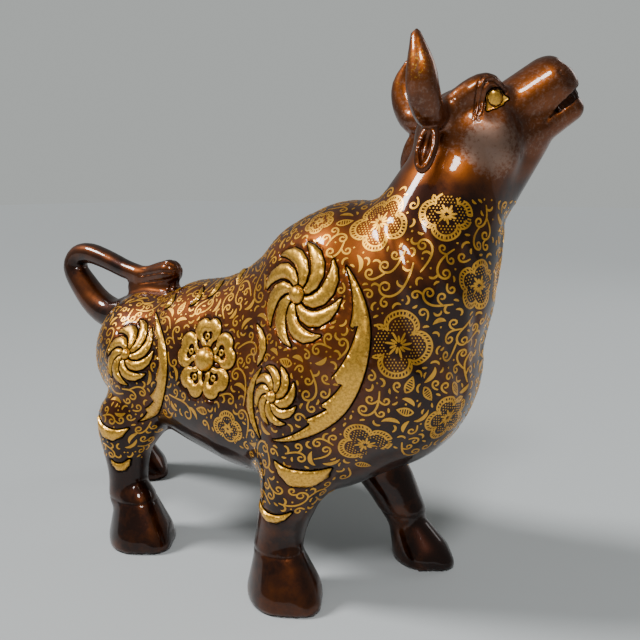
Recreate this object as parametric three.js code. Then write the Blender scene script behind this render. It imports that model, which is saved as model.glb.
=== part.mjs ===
import * as THREE from 'three';

// Brass ox statue. One hollow casting: body, head, horns, ears, looped tail and four hoofed
// legs run into each other, so the whole ox is one closed solid.
// Lengths are millimetres. +X is forward, +Y the ox's left, +Z up. The body is drawn about a
// point on the floor between the legs and moved at the end, so that the middle of the bounding
// box stands on the origin.
// Every volume is a distance field: round cones, eggs and balls run together with soft joins.
// The field is meshed, refined where the carving lies, raised by the carving and then faceted.

const DEG = Math.PI / 180;

// Head: turned to the ox's left about an upright axis and tilted up.
const HEAD_YAW = 33.4 * DEG;
const HEAD_AXIS_X = 165;
const SKULL_TILT = 34 * DEG;
const NOSE_CURVE = 120;     // radius of the flat front of the nose

// Trunk half widths.
const CHEST_HALF_WIDTH = 73;
const RUMP_HALF_WIDTH = 58;

// Legs: sole centres and toe directions.
const HOOF = {
  rightFore: { x: 88, y: -56, yaw: -16 * DEG, size: 1, lean: 0 },
  leftFore: { x: 150, y: 47, yaw: -5 * DEG, size: 0.78, lean: 14 },
  rightHind: { x: -63, y: -55, yaw: -12 * DEG, size: 1, lean: 0 },
  leftHind: { x: -170, y: 43, yaw: 0, size: 0.96, lean: 9 },
};

// Carving.
const RAISE = 1.6;          // height of a raised shape above the skin
const RAISE_EDGE = 1.2;     // width over which a raised shape comes up
const GROOVE_DEPTH = 0.8;   // depth of the cut line round it
const GROOVE_WIDTH = 2.2;
const PLEAT_DEPTH = 1.1;    // soft folds of the neck and dewlap
const PLEAT_PITCH = 17;     // degrees round the neck from fold to fold
const PLEAT_LEAN = 0.3;     // degrees of lean for each millimetre of height

// Mesh.
const CELL = 2.5;
const FINE_EDGE = 1.5;
const TRIANGLES = 9700;

const sub = (a, b) => [a[0] - b[0], a[1] - b[1], a[2] - b[2]];
const dot = (a, b) => a[0] * b[0] + a[1] * b[1] + a[2] * b[2];
const cross = (a, b) => [
  a[1] * b[2] - a[2] * b[1], a[2] * b[0] - a[0] * b[2], a[0] * b[1] - a[1] * b[0]];
const clamp = (t, lo = 0, hi = 1) => Math.min(hi, Math.max(lo, t));
const smooth = (t) => { const s = clamp(t); return s * s * (3 - 2 * s); };

/** Rows are the turned x, y and z axes: yaw to the left, then pitch up, then roll. */
function axes(yaw, pitch = 0, roll = 0) {
  const [cy, sy, cp, sp] = [Math.cos(yaw), Math.sin(yaw), Math.cos(pitch), Math.sin(pitch)];
  const e1 = [cy * cp, sy * cp, sp];
  const e2 = [-sy, cy, 0];
  const e3 = cross(e1, e2);
  const [cr, sr] = [Math.cos(roll), Math.sin(roll)];
  return [e1, e2.map((v, i) => cr * v + sr * e3[i]), e3.map((v, i) => cr * v - sr * e2[i])];
}

/** A point of the head: s along the muzzle, l to the head's left, z up from the floor. */
function headPoint(s, l, z) {
  const [c, n] = [Math.cos(HEAD_YAW), Math.sin(HEAD_YAW)];
  return [HEAD_AXIS_X + s * c - l * n, s * n + l * c, z];
}

// Fields. Each is a function of x, y, z with a bounding ball (centre, reach).

/** Round cone from a (radius ra) to b (radius rb). */
function cone(a, b, ra, rb) {
  const ba = sub(b, a);
  const l2 = dot(ba, ba);
  const rr = ra - rb;
  const a2 = l2 - rr * rr;
  const il2 = 1 / l2;
  const f = (x, y, z) => {
    const pa = [x - a[0], y - a[1], z - a[2]];
    const h = dot(pa, ba);
    const g = h - l2;
    const w = [pa[0] * l2 - h * ba[0], pa[1] * l2 - h * ba[1], pa[2] * l2 - h * ba[2]];
    const x2 = dot(w, w);
    const y2 = h * h * l2;
    const z2 = g * g * l2;
    const k = Math.sign(rr) * rr * rr * x2;
    if (Math.sign(g) * a2 * z2 > k) return Math.sqrt(x2 + z2) * il2 - rb;
    if (Math.sign(h) * a2 * y2 < k) return Math.sqrt(x2 + y2) * il2 - ra;
    return (Math.sqrt(x2 * a2 * il2) + h * rr) * il2 - ra;
  };
  f.centre = [(a[0] + b[0]) / 2, (a[1] + b[1]) / 2, (a[2] + b[2]) / 2];
  f.reach = Math.sqrt(l2) / 2 + Math.max(ra, rb);
  return f;
}

/** Egg: an ellipsoid with half axes r along the rows of turn. */
function egg(c, r, turn = axes(0)) {
  const f = (x, y, z) => {
    const p = [x - c[0], y - c[1], z - c[2]];
    const q = turn.map((row, i) => dot(p, row) / r[i]);
    const k0 = Math.hypot(q[0], q[1], q[2]);
    const k1 = Math.hypot(q[0] / r[0], q[1] / r[1], q[2] / r[2]);
    return k0 * (k0 - 1) / Math.max(k1, 1e-9);
  };
  f.centre = c;
  f.reach = Math.max(...r);
  return f;
}

const ball = (c, r) => egg(c, [r, r, r]);

/** Smallest of two distances with a soft join k wide. */
function join(a, b, k) {
  const h = k > 0 ? Math.max(k - Math.abs(a - b), 0) / k : 0;
  return Math.min(a, b) - h * h * k / 4;
}

/** Runs fields together; parts are [field, join width]. Far parts are passed over. */
function blend(...parts) {
  const box = new THREE.Box3();
  for (const [f] of parts) {
    box.expandByPoint(new THREE.Vector3(...f.centre).addScalar(f.reach));
    box.expandByPoint(new THREE.Vector3(...f.centre).addScalar(-f.reach));
  }
  const all = (x, y, z) => {
    let d = 1e9;
    for (const [f, k] of parts) {
      const c = f.centre;
      const t = d + k + f.reach;
      const far = (x - c[0]) ** 2 + (y - c[1]) ** 2 + (z - c[2]) ** 2;
      if (t < 0 || far > t * t) continue;
      d = d > 1e8 ? f(x, y, z) : join(d, f(x, y, z), k);
    }
    return d;
  };
  all.centre = box.getCenter(new THREE.Vector3()).toArray();
  all.reach = Math.max(...parts.map(([f]) => Math.sqrt(dot(
    sub(f.centre, all.centre), sub(f.centre, all.centre))) + f.reach));
  return all;
}

/** A limb: round cones from point to point. */
function chain(points, radii, k = 2) {
  return blend(...points.slice(1).map((b, i) => [cone(points[i], b, radii[i], radii[i + 1]), k]));
}

/** A smooth limb: points and radii follow a Catmull-Rom curve, with finer cones to a span. */
function limb(points, radii, finer = 3) {
  const rows = points.map((p, i) => [...p, radii[i]]);
  const past = (a, b) => a.map((v, m) => 2 * v - b[m]);
  const all = [past(rows[0], rows[1]), ...rows, past(rows.at(-1), rows.at(-2))];
  const run = [];
  for (let i = 1; i < rows.length; i++) {
    const [a, b, c, d] = all.slice(i - 1, i + 3);
    for (let step = 0; step < finer; step++) {
      const t = step / finer;
      run.push(b.map((v, m) => 0.5 * (2 * v + (c[m] - a[m]) * t
        + (2 * a[m] - 5 * v + 4 * c[m] - d[m]) * t * t
        + (3 * v - a[m] - 3 * c[m] + d[m]) * t * t * t)));
    }
  }
  run.push(rows.at(-1));
  return chain(run.map((q) => q.slice(0, 3)), run.map((q) => q[3]), 0);
}

/** Field f with the field g taken out of it, the rim softened over k. */
function carve(f, g, k) {
  const cut = (x, y, z) => {
    const d = f(x, y, z);
    const e = g(x, y, z);
    return e > k + Math.abs(d) ? d : -join(-d, e, k);
  };
  cut.centre = f.centre;
  cut.reach = f.reach;
  return cut;
}

function trunk() {
  const belly = (side) => limb([[-44, side * 16, 137], [34, side * 15, 131],
    [100, side * 14, 130]], [43, 54, 55], 2);
  return blend(
    [egg([126, 0, 176], [81, CHEST_HALF_WIDTH, 84]), 0],
    [limb([[-20, 0, 164], [20, 0, 177], [74, 0, 207], [94, 0, 220], [117, 0, 225]],
      [49, 46, 50, 55, 60], 2), 12],
    [cone([-22, 0, 162], [80, 0, 165], 54, 62), 18],
    [blend([belly(-1), 0], [belly(1), 0]), 14],
    [egg([-86, 0, 151], [52, RUMP_HALF_WIDTH, 55]), 22],
    [cone([161, 0, 227], headPoint(19, 0, 291), 54, 36), 12]);
}

/** Looped tail: out from the rump, round and forward again on to the back, with a tuft. */
function tail() {
  const loop = limb([[-110, 0, 186], [-140, 0, 176.5], [-166, 0, 184], [-187, 0, 202],
    [-198, 0, 217], [-191, 0, 229], [-174, 0, 232], [-150, 0, 227], [-126, 0, 220],
    [-104, 0, 216]], [16, 15, 14, 12.5, 11, 10, 9.5, 9, 8.5, 8]);
  const tuft = limb([[-106, 0, 216], [-95, 0, 217], [-83, 0, 219.5], [-71, 0, 221.5]],
    [8.5, 8.7, 9.7, 10.7]);
  return blend([loop, 0], [tuft, 1], [cone([-112, 0, 205], [-74, 0, 209], 9, 9), 5]);
}

/** Skull, muzzle, jaw, cheeks, brows, eyes and lids; nose plane, mouth and nostrils taken out. */
function head() {
  const parts = [
    [egg(headPoint(25, 0, 327), [32, 27, 29.5], axes(HEAD_YAW, SKULL_TILT)), 0],
    [cone(headPoint(45, 0, 336), headPoint(77, 0, 357.5), 18, 19), 8],
    [cone(headPoint(46, 0, 292), headPoint(68, 0, 322), 17.5, 12.5), 8]];
  for (const side of [-1, 1]) {
    parts.push([cone(headPoint(64, side * 5, 327), headPoint(93.8, side * 6, 343.6), 13, 7), 5]);
    parts.push([egg(headPoint(36, side * 13, 317), [25, 17, 26]), 10]);
    parts.push([limb([headPoint(12, side * 17, 341), headPoint(24, side * 19.5, 351),
      headPoint(34, side * 18.5, 355.5), headPoint(41, side * 16.5, 354),
      headPoint(48, side * 14, 350)], [8, 8, 7.8, 5.5, 3.5]), 6]);
  }
  const [forward, , up] = axes(HEAD_YAW);
  const nose = headPoint(88, 0, 370.8);
  const beyond = nose.map((v, i) => v + NOSE_CURVE * (0.72 * forward[i] + 0.69 * up[i]));
  let f = carve(blend(...parts), ball(beyond, NOSE_CURVE), 5);
  f = carve(f, egg(headPoint(92, 0, 350.6), [15.5, 26, 2.5], axes(HEAD_YAW, 41 * DEG)), 1.5);
  for (const side of [-1, 1]) {
    f = carve(f, egg(headPoint(87, side * 10, 370), [5, 4, 6], axes(HEAD_YAW, 25 * DEG)), 2);
    f = carve(f, ball(headPoint(38.5, side * 31, 349), 8.5), 2);
    f = blend([f, 0], [ball(headPoint(39.3, side * 23, 350.7), 3.6), 0.5],
      [limb([headPoint(27, side * 26, 338), headPoint(30.3, side * 25.3, 346),
        headPoint(30.8, side * 26, 353.5), headPoint(34, side * 24, 358.3),
        headPoint(38, side * 22.5, 357.8), headPoint(43.5, side * 20, 353)],
      [0.8, 1.5, 1.9, 1.8, 1.6, 0.9]), 0.8]);
  }
  return f;
}

/** Upright horn, leaf shaped from the side; the left one leans further forward. */
function horn(side) {
  const tip = side < 0 ? headPoint(-12, -38, 382) : headPoint(-7, 35, 377);
  return limb([headPoint(6, side * 18, 338), headPoint(-2, side * 31, 339),
    headPoint(-7, side * 39, 350), headPoint(-9, side * 41, 363), tip], [9, 9.5, 10, 8.5, 3]);
}

/** Small drooping ear with a hollow in its outer face. */
function ear(side) {
  const turn = axes(HEAD_YAW, -16 * DEG, side * 24 * DEG);
  const leaf = egg(headPoint(-3, side * 34, 318), [7, 6.5, 18], turn);
  return carve(leaf, egg(headPoint(-5, side * 39, 317), [3.6, 5.5, 12.5], turn), 2);
}

/** Bell shaped hoof with a heel and a keel down the toe, and its leg from the hip down. */
function leg({ x, y, yaw, size, lean }, points, radii, k) {
  const [u, v] = axes(yaw);
  const at = (f, l, z) => [0, 1, 2].map((i) => [x, y, 0][i] + size * (f * u[i] + l * v[i]
    + (i === 2 ? z : 0)));
  const wall = cone(at(4, 0, 4), at(-4 - lean, 0, 38), 26.5 * size, 14.5 * size);
  const heel = cone(at(-11, 0, 4), at(-9 - lean, 0, 34), 19 * size, 13 * size);
  const keel = cone(at(26, 0, 3), at(6 - lean, 0, 37), 9.5 * size, 6 * size);
  return blend([limb(points, radii), 0], [blend([wall, 0], [heel, 8], [keel, 9]), k]);
}

const OX = blend(
  [trunk(), 0],
  [leg(HOOF.rightFore, [[106, -44, 150], [99, -50, 112], [94, -52, 84], [87, -52, 62],
    [81, -52, 36]], [36, 27, 22, 19, 17], 3), 14],
  [leg(HOOF.leftFore, [[96, 40, 140], [100, 46, 90], [121, 48, 58], [134, 49, 36]],
    [34, 24, 19.5, 16.5], 3), 12],
  [leg(HOOF.rightHind, [[-64, -34, 145], [-64, -41, 119], [-74, -47, 103], [-76, -52, 84],
    [-76, -53, 60], [-77, -53, 36]], [34, 26.5, 28, 21, 16.5, 16], 3), 12],
  [leg(HOOF.leftHind, [[-86, 36, 145], [-126, 43, 110], [-166, 44, 86], [-181, 44, 60],
    [-183, 43, 36]], [38, 28, 20, 16, 15], 3), 12],
  [tail(), 6],
  [head(), 8],
  [horn(-1), 4], [horn(1), 4], [ear(-1), 2], [ear(1), 2]);

/** The whole ox, cut level with the floor. */
const field = (x, y, z) => Math.max(OX(x, y, z), -z);

function slope(f, [x, y, z], e = 0.25) {
  return [(f(x + e, y, z) - f(x - e, y, z)) / (2 * e), (f(x, y + e, z) - f(x, y - e, z)) / (2 * e),
    (f(x, y, z + e) - f(x, y, z - e)) / (2 * e)];
}

// Carving. Flat outlines as distances, less than zero inside.

/** Uneven capsule from (ax, ay) radius ra to (bx, by) radius rb. */
function drop(x, y, ax, ay, bx, by, ra, rb) {
  const [dx, dy] = [bx - ax, by - ay];
  const l2 = dx * dx + dy * dy;
  const t = clamp(((x - ax) * dx + (y - ay) * dy) / l2);
  return Math.hypot(x - ax - t * dx, y - ay - t * dy) - (ra + (rb - ra) * t);
}

/** A run of drops along the points [x, y, radius]. */
function stroke(x, y, points) {
  let d = 1e9;
  for (let i = 1; i < points.length; i++) {
    const [a, b] = [points[i - 1], points[i]];
    d = Math.min(d, drop(x, y, a[0], a[1], b[0], b[1], a[2], b[2]));
  }
  return d;
}

/** Pinwheel of curled petals about a boss; turn is the direction of the first tip. */
function whorl(x, y, { radius, petals, turn, boss }) {
  let d = Math.hypot(x, y) - boss;
  const curl = 70 * DEG;
  const steps = [0.14, 0.4, 0.64, 0.84, 1];
  const girth = [0.3, 0.8, 1, 0.68, 0.06];
  const widest = radius * 1.17 / petals;
  for (let k = 0; k < petals; k++) {
    const start = turn - curl + k * 2 * Math.PI / petals;
    d = Math.min(d, stroke(x, y, steps.map((t, i) => {
      const a = start + curl * t * t;
      return [radius * t * Math.cos(a), radius * t * Math.sin(a), widest * girth[i]];
    })));
  }
  return d;
}

/** Crescent on a circle, its inner edge stepped; teeth are [angle, width before, after]. */
function crescent(x, y, { radius, teeth }) {
  const r = Math.hypot(x, y);
  const a = Math.atan2(y, x) / DEG;
  let width = -1;
  for (let i = 1; i < teeth.length; i++) {
    const [a0, , w0] = teeth[i - 1];
    const [a1, w1] = teeth[i];
    if (a <= a0 && a > a1) width = w0 + (w1 - w0) * (a0 - a) / (a0 - a1);
  }
  const over = Math.max(a - teeth[0][0], teeth[teeth.length - 1][0] - a) * DEG * radius;
  if (over > 0) return Math.hypot(over, Math.min(Math.abs(r - radius), 99));
  return Math.max(r - radius, radius - width - r);
}

/** Five-petalled flower; each petal is cleft at the rim and has a hollow near the boss. */
function flower(x, y, { radius, turn, boss }) {
  let d = 1e9;
  for (let k = 0; k < 5; k++) {
    const a = turn + k * 72 * DEG;
    const [u, v] = [x * Math.cos(a) + y * Math.sin(a), y * Math.cos(a) - x * Math.sin(a)];
    const s = radius / 28;
    let petal = drop(u, v, 8 * s, 0, 18 * s, 0, 3 * s, 9.2 * s);
    petal = Math.min(petal, Math.hypot(u - 20 * s, Math.abs(v) - 4.4 * s) - 7.4 * s);
    petal = Math.max(petal, 2.6 * s - Math.hypot(u - 29 * s, v));
    petal = Math.max(petal, 3.6 * s - Math.hypot(u - 12.4 * s, v));
    d = Math.min(d, petal);
  }
  return Math.min(d, Math.hypot(x, y) - boss);
}

/** Lens or bowl drawn by three points and the half width at the middle one. */
function bow(x, y, { points, width }) {
  const [a, b, c] = points;
  const mid = (t) => [0, 1].map((i) => (1 - t) * (1 - t) * a[i] + 2 * t * (1 - t)
    * (2 * b[i] - (a[i] + c[i]) / 2) + t * t * c[i]);
  return stroke(x, y, [0, 0.2, 0.4, 0.6, 0.8, 1].map((t) => [...mid(t),
    0.3 + width * Math.sin(Math.PI * t)]));
}

// Carved shapes of one flank, placed by x and z; the other flank carries the mirror image.
const FLANK = [
  { shape: whorl, x: 106, z: 225, reach: 36, radius: 32, petals: 7, turn: 90 * DEG, boss: 5.5,
    dome: 2.2 },
  { shape: whorl, x: 97, z: 158.5, reach: 24, radius: 20, petals: 8, turn: 80 * DEG, boss: 3.6,
    dome: 1.5 },
  { shape: whorl, x: -60, z: 163, reach: 28, radius: 24, petals: 8, turn: 100 * DEG, boss: 3.8,
    dome: 1.5 },
  { shape: flower, x: 22, z: 169.5, reach: 34, radius: 29, turn: 96 * DEG, boss: 7.4, dome: 4 },
  { shape: crescent, x: 95, z: 195, reach: 74, radius: 66.5, teeth: [[49, 0, 0], [14, 11.5, 6.5],
    [-23, 18, 10], [-44, 13, 8.7], [-59, 10.6, 6.8], [-88, 0, 0]] },
  { shape: crescent, x: -61, z: 151, reach: 50, radius: 44, teeth: [[77, 0, 0], [43, 8, 5.5],
    [19, 11, 8], [-10, 13, 9], [-38, 13, 8], [-60, 8, 5.5], [-74, 0, 0]] },
  { shape: bow, x: 0, z: 0, reach: 400, points: [[68, 200], [78, 188], [75, 174]], width: 3.2 },
  { shape: bow, x: 0, z: 0, reach: 400, points: [[80, 173], [70.5, 150], [83, 126]], width: 3 },
];

// Bowl shaped crescents on the legs: [sides they lie on, three points, half width].
const LEG_BOWS = [
  { sides: [-1], points: [[98, 113], [114, 101.5], [131, 109]], width: 6.6 },
  { sides: [1], points: [[86, 113], [102, 101.5], [119, 109]], width: 6.6 },
  { sides: [-1], points: [[76, 75], [90, 67], [105, 74]], width: 3 },
  { sides: [1], points: [[99, 70], [112, 62], [126, 70]], width: 3 },
  { sides: [-1], points: [[-90, 109], [-73, 97], [-56, 103]], width: 4.8 },
  { sides: [1], points: [[-140, 114], [-124, 101], [-107, 107]], width: 4.8 },
  { sides: [-1], points: [[-75, 73], [-68, 67], [-61, 74]], width: 3 },
  { sides: [1], points: [[-177, 76], [-170, 70], [-163, 77]], width: 3 },
];

/** Distance to the nearest carved outline and the dome of its boss at a point of the skin. */
function carving(p, n) {
  const side = Math.sign(p[1]);
  const out = { d: 1e9, dome: 0 };
  if (side * n[1] < 0.3 || p[2] > 275) return out;
  for (const o of FLANK) {
    const [x, y] = [p[0] - o.x, p[2] - o.z];
    if (Math.hypot(x, y) > o.reach) continue;
    if (o.shape === crescent && x < -10) continue;
    out.d = Math.min(out.d, o.shape(x, y, o));
    const b = o.boss ? Math.hypot(x, y) / o.boss : 1;
    if (b < 1) out.dome = o.dome * Math.sqrt(1 - b * b);
  }
  for (const o of LEG_BOWS) {
    if (o.sides.includes(side)) out.d = Math.min(out.d, bow(p[0], p[2], o));
  }
  return out;
}

/** Height of the finished skin above the plain body. */
function relief(p, n) {
  const { d, dome } = carving(p, n);
  let h = dome;
  if (d < GROOVE_WIDTH) {
    h += RAISE * smooth(-d / RAISE_EDGE);
    if (d > 0) h -= GROOVE_DEPTH * Math.sin(Math.PI * d / GROOVE_WIDTH) ** 2;
  }
  const round = Math.abs(Math.atan2(p[1], p[0] - 125)) / DEG;
  const fade = smooth((p[2] - 145) / 30) * smooth((285 - p[2]) / 25) * smooth((78 - round) / 18)
    * smooth((round - 4) / 6);
  const turns = (round - PLEAT_LEAN * (p[2] - 200) - 13) / PLEAT_PITCH;
  return h + fade * PLEAT_DEPTH * Math.cos(2 * Math.PI * turns);
}

// Meshing.

/** True when the marked corners of a cell hang together along its edges. */
function joined(marks) {
  const first = marks.indexOf(true);
  if (first < 0) return true;
  const seen = new Set([first]);
  for (const c of seen) {
    for (const bit of [1, 2, 4]) if (marks[c ^ bit]) seen.add(c ^ bit);
  }
  return seen.size === marks.filter((m) => m).length;
}

/** True when two sheets of the surface would meet in one cell or on one of its faces. */
function pinched(v) {
  const inside = v.map((w) => w < 0);
  if (!joined(inside) || !joined(inside.map((w) => !w))) return true;
  for (const bit of [1, 2, 4]) {
    const [p, q] = [1, 2, 4].filter((w) => w !== bit);
    for (const base of [0, bit]) {
      if (inside[base] === inside[base | p | q] && inside[base | p] === inside[base | q]
        && inside[base] !== inside[base | p]) return true;
    }
  }
  return false;
}

/** Fills the weakest outer corner of every pinched cell, so that the net stays a closed skin. */
function part(value, cells, around, n) {
  const queue = [...cells];
  while (queue.length) {
    const at = around(queue.pop());
    if (!pinched(at.map((q) => value[q]))) continue;
    const outer = at.filter((q) => value[q] >= 0);
    const weak = outer.reduce((a, b) => (value[b] < value[a] ? b : a));
    value[weak] = -0.3;
    for (const di of [0, n[1] * n[2]]) {
      for (const dj of [0, n[2]]) for (const dk of [0, 1]) queue.push(weak - di - dj - dk);
    }
  }
}

/** Surface nets of the field in a grid; returns points and triangles. */
function nets(f, lo, hi, cell) {
  const COARSE = 4;
  const n = lo.map((a, i) => Math.ceil((hi[i] - a) / cell / COARSE) * COARSE + 1);
  const id = (i, j, k) => (i * n[1] + j) * n[2] + k;
  const value = new Float32Array(n[0] * n[1] * n[2]).fill(NaN);
  const at = (i, j, k) => f(lo[0] + i * cell, lo[1] + j * cell, lo[2] + k * cell);
  for (let i = 0; i < n[0] - 1; i += COARSE) {
    for (let j = 0; j < n[1] - 1; j += COARSE) {
      for (let k = 0; k < n[2] - 1; k += COARSE) {
        const mid = at(i + COARSE / 2, j + COARSE / 2, k + COARSE / 2);
        const near = Math.abs(mid) < cell * COARSE * 1.1 + 4;
        for (let a = 0; a <= COARSE; a++) {
          for (let b = 0; b <= COARSE; b++) {
            for (let c = 0; c <= COARSE; c++) {
              const q = id(i + a, j + b, k + c);
              if (near) { if (!(Math.abs(value[q]) < 900)) value[q] = at(i + a, j + b, k + c); }
              else if (Number.isNaN(value[q])) value[q] = Math.sign(mid) * 999;
            }
          }
        }
      }
    }
  }
  const corner = [];
  for (let c = 0; c < 8; c++) corner.push([c & 1, (c >> 1) & 1, (c >> 2) & 1]);
  const offset = corner.map(([a, b, c]) => id(a, b, c));
  const around = (q) => offset.map((o) => q + o);
  const crossed = () => {
    const cells = [];
    for (let i = 0; i < n[0] - 1; i++) {
      for (let j = 0; j < n[1] - 1; j++) {
        for (let k = 0; k < n[2] - 1; k++) {
          const q = id(i, j, k);
          const here = value[q] < 0;
          if (offset.some((o) => (value[q + o] < 0) !== here)) cells.push(q);
        }
      }
    }
    return cells;
  };
  part(value, crossed(), around, n);
  const point = new Map();
  const points = [];
  const triangles = [];
  for (const q of crossed()) {
    const v = around(q).map((o) => value[o]);
    const sum = [0, 0, 0, 0];
    for (let c = 0; c < 8; c++) {
      for (const bit of [1, 2, 4]) {
        if (c & bit || (v[c] < 0) === (v[c | bit] < 0)) continue;
        const t = v[c] / (v[c] - v[c | bit]);
        for (let m = 0; m < 3; m++) {
          sum[m] += corner[c][m] + t * (corner[c | bit][m] - corner[c][m]);
        }
        sum[3]++;
      }
    }
    const cellAt = [Math.floor(q / (n[1] * n[2])), Math.floor(q / n[2]) % n[1], q % n[2]];
    point.set(q, points.length);
    points.push([0, 1, 2].map((m) => lo[m] + (cellAt[m] + sum[m] / sum[3]) * cell));
  }
  for (let i = 1; i < n[0] - 1; i++) {
    for (let j = 1; j < n[1] - 1; j++) {
      for (let k = 1; k < n[2] - 1; k++) {
        const here = value[id(i, j, k)] < 0;
        for (let m = 0; m < 3; m++) {
          const step = [0, 0, 0];
          step[m] = 1;
          if (here === (value[id(i + step[0], j + step[1], k + step[2])] < 0)) continue;
          const u = [0, 0, 0];
          const w = [0, 0, 0];
          u[(m + 1) % 3] = 1;
          w[(m + 2) % 3] = 1;
          const q = [[1, 1], [0, 1], [0, 0], [1, 0]].map(([a, b]) => point.get(id(
            i - a * u[0] - b * w[0], j - a * u[1] - b * w[1], k - a * u[2] - b * w[2])));
          if (!here) q.reverse();
          triangles.push([q[0], q[1], q[2]], [q[0], q[2], q[3]]);
        }
      }
    }
  }
  return { points, triangles };
}

/** Moves points on to the zero of the field, no step longer than reach. */
function settle(points, f, steps, reach) {
  for (const p of points) {
    for (let s = 0; s < steps; s++) {
      const g = slope(f, p);
      const t = clamp(f(...p) / Math.max(dot(g, g), 0.1), -reach, reach);
      for (let m = 0; m < 3; m++) p[m] -= t * g[m];
    }
  }
}

/** Evens the points out over the surface: each goes part of the way to its neighbours' mean. */
function relax({ points, triangles }, amount) {
  const sum = points.map(() => [0, 0, 0, 0]);
  for (const t of triangles) {
    for (let i = 0; i < 3; i++) {
      const q = points[t[(i + 1) % 3]];
      const s = sum[t[i]];
      for (let m = 0; m < 3; m++) s[m] += q[m];
      s[3]++;
    }
  }
  points.forEach((p, i) => {
    for (let m = 0; m < 3; m++) p[m] += amount * (sum[i][m] / sum[i][3] - p[m]);
  });
}

/** Splits every edge that is longer than wanted(midpoint), keeping the mesh closed. */
function refine({ points, triangles }, wanted) {
  const middle = new Map();
  const key = (a, b) => (a < b ? a * 1e7 + b : b * 1e7 + a);
  const cut = (a, b) => {
    const k = key(a, b);
    if (middle.has(k)) return middle.get(k);
    const [p, q] = [points[a], points[b]];
    const mid = [(p[0] + q[0]) / 2, (p[1] + q[1]) / 2, (p[2] + q[2]) / 2];
    let at = -1;
    if (Math.hypot(p[0] - q[0], p[1] - q[1], p[2] - q[2]) > wanted(mid)) {
      at = points.length;
      points.push(mid);
    }
    middle.set(k, at);
    return at;
  };
  const out = [];
  for (const t of triangles) {
    const m = [cut(t[0], t[1]), cut(t[1], t[2]), cut(t[2], t[0])];
    const marked = m.filter((i) => i >= 0).length;
    if (marked === 0) { out.push(t); continue; }
    if (marked === 3) {
      out.push([t[0], m[0], m[2]], [m[0], t[1], m[1]], [m[2], m[1], t[2]], [m[0], m[1], m[2]]);
      continue;
    }
    const s = marked === 1 ? m.findIndex((i) => i >= 0) : (m.findIndex((i) => i < 0) + 1) % 3;
    const [a, b, c] = [t[s], t[(s + 1) % 3], t[(s + 2) % 3]];
    const [mab, mbc] = [m[s], m[(s + 1) % 3]];
    if (marked === 1) out.push([a, mab, c], [mab, b, c]);
    else out.push([mab, b, mbc], [a, mab, mbc], [a, mbc, c]);
  }
  return { points, triangles: out };
}

// Faceting: edges are closed up in order of the error they bring.

class Heap {
  constructor() { this.items = []; }

  push(item) {
    const h = this.items;
    let i = h.push(item) - 1;
    while (i > 0) {
      const up = (i - 1) >> 1;
      if (h[up].cost <= item.cost) break;
      h[i] = h[up];
      i = up;
    }
    h[i] = item;
  }

  pop() {
    const h = this.items;
    const top = h[0];
    const last = h.pop();
    if (h.length === 0) return top;
    let i = 0;
    for (;;) {
      let down = 2 * i + 1;
      if (down >= h.length) break;
      if (down + 1 < h.length && h[down + 1].cost < h[down].cost) down++;
      if (h[down].cost >= last.cost) break;
      h[i] = h[down];
      i = down;
    }
    h[i] = last;
    return top;
  }
}

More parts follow.
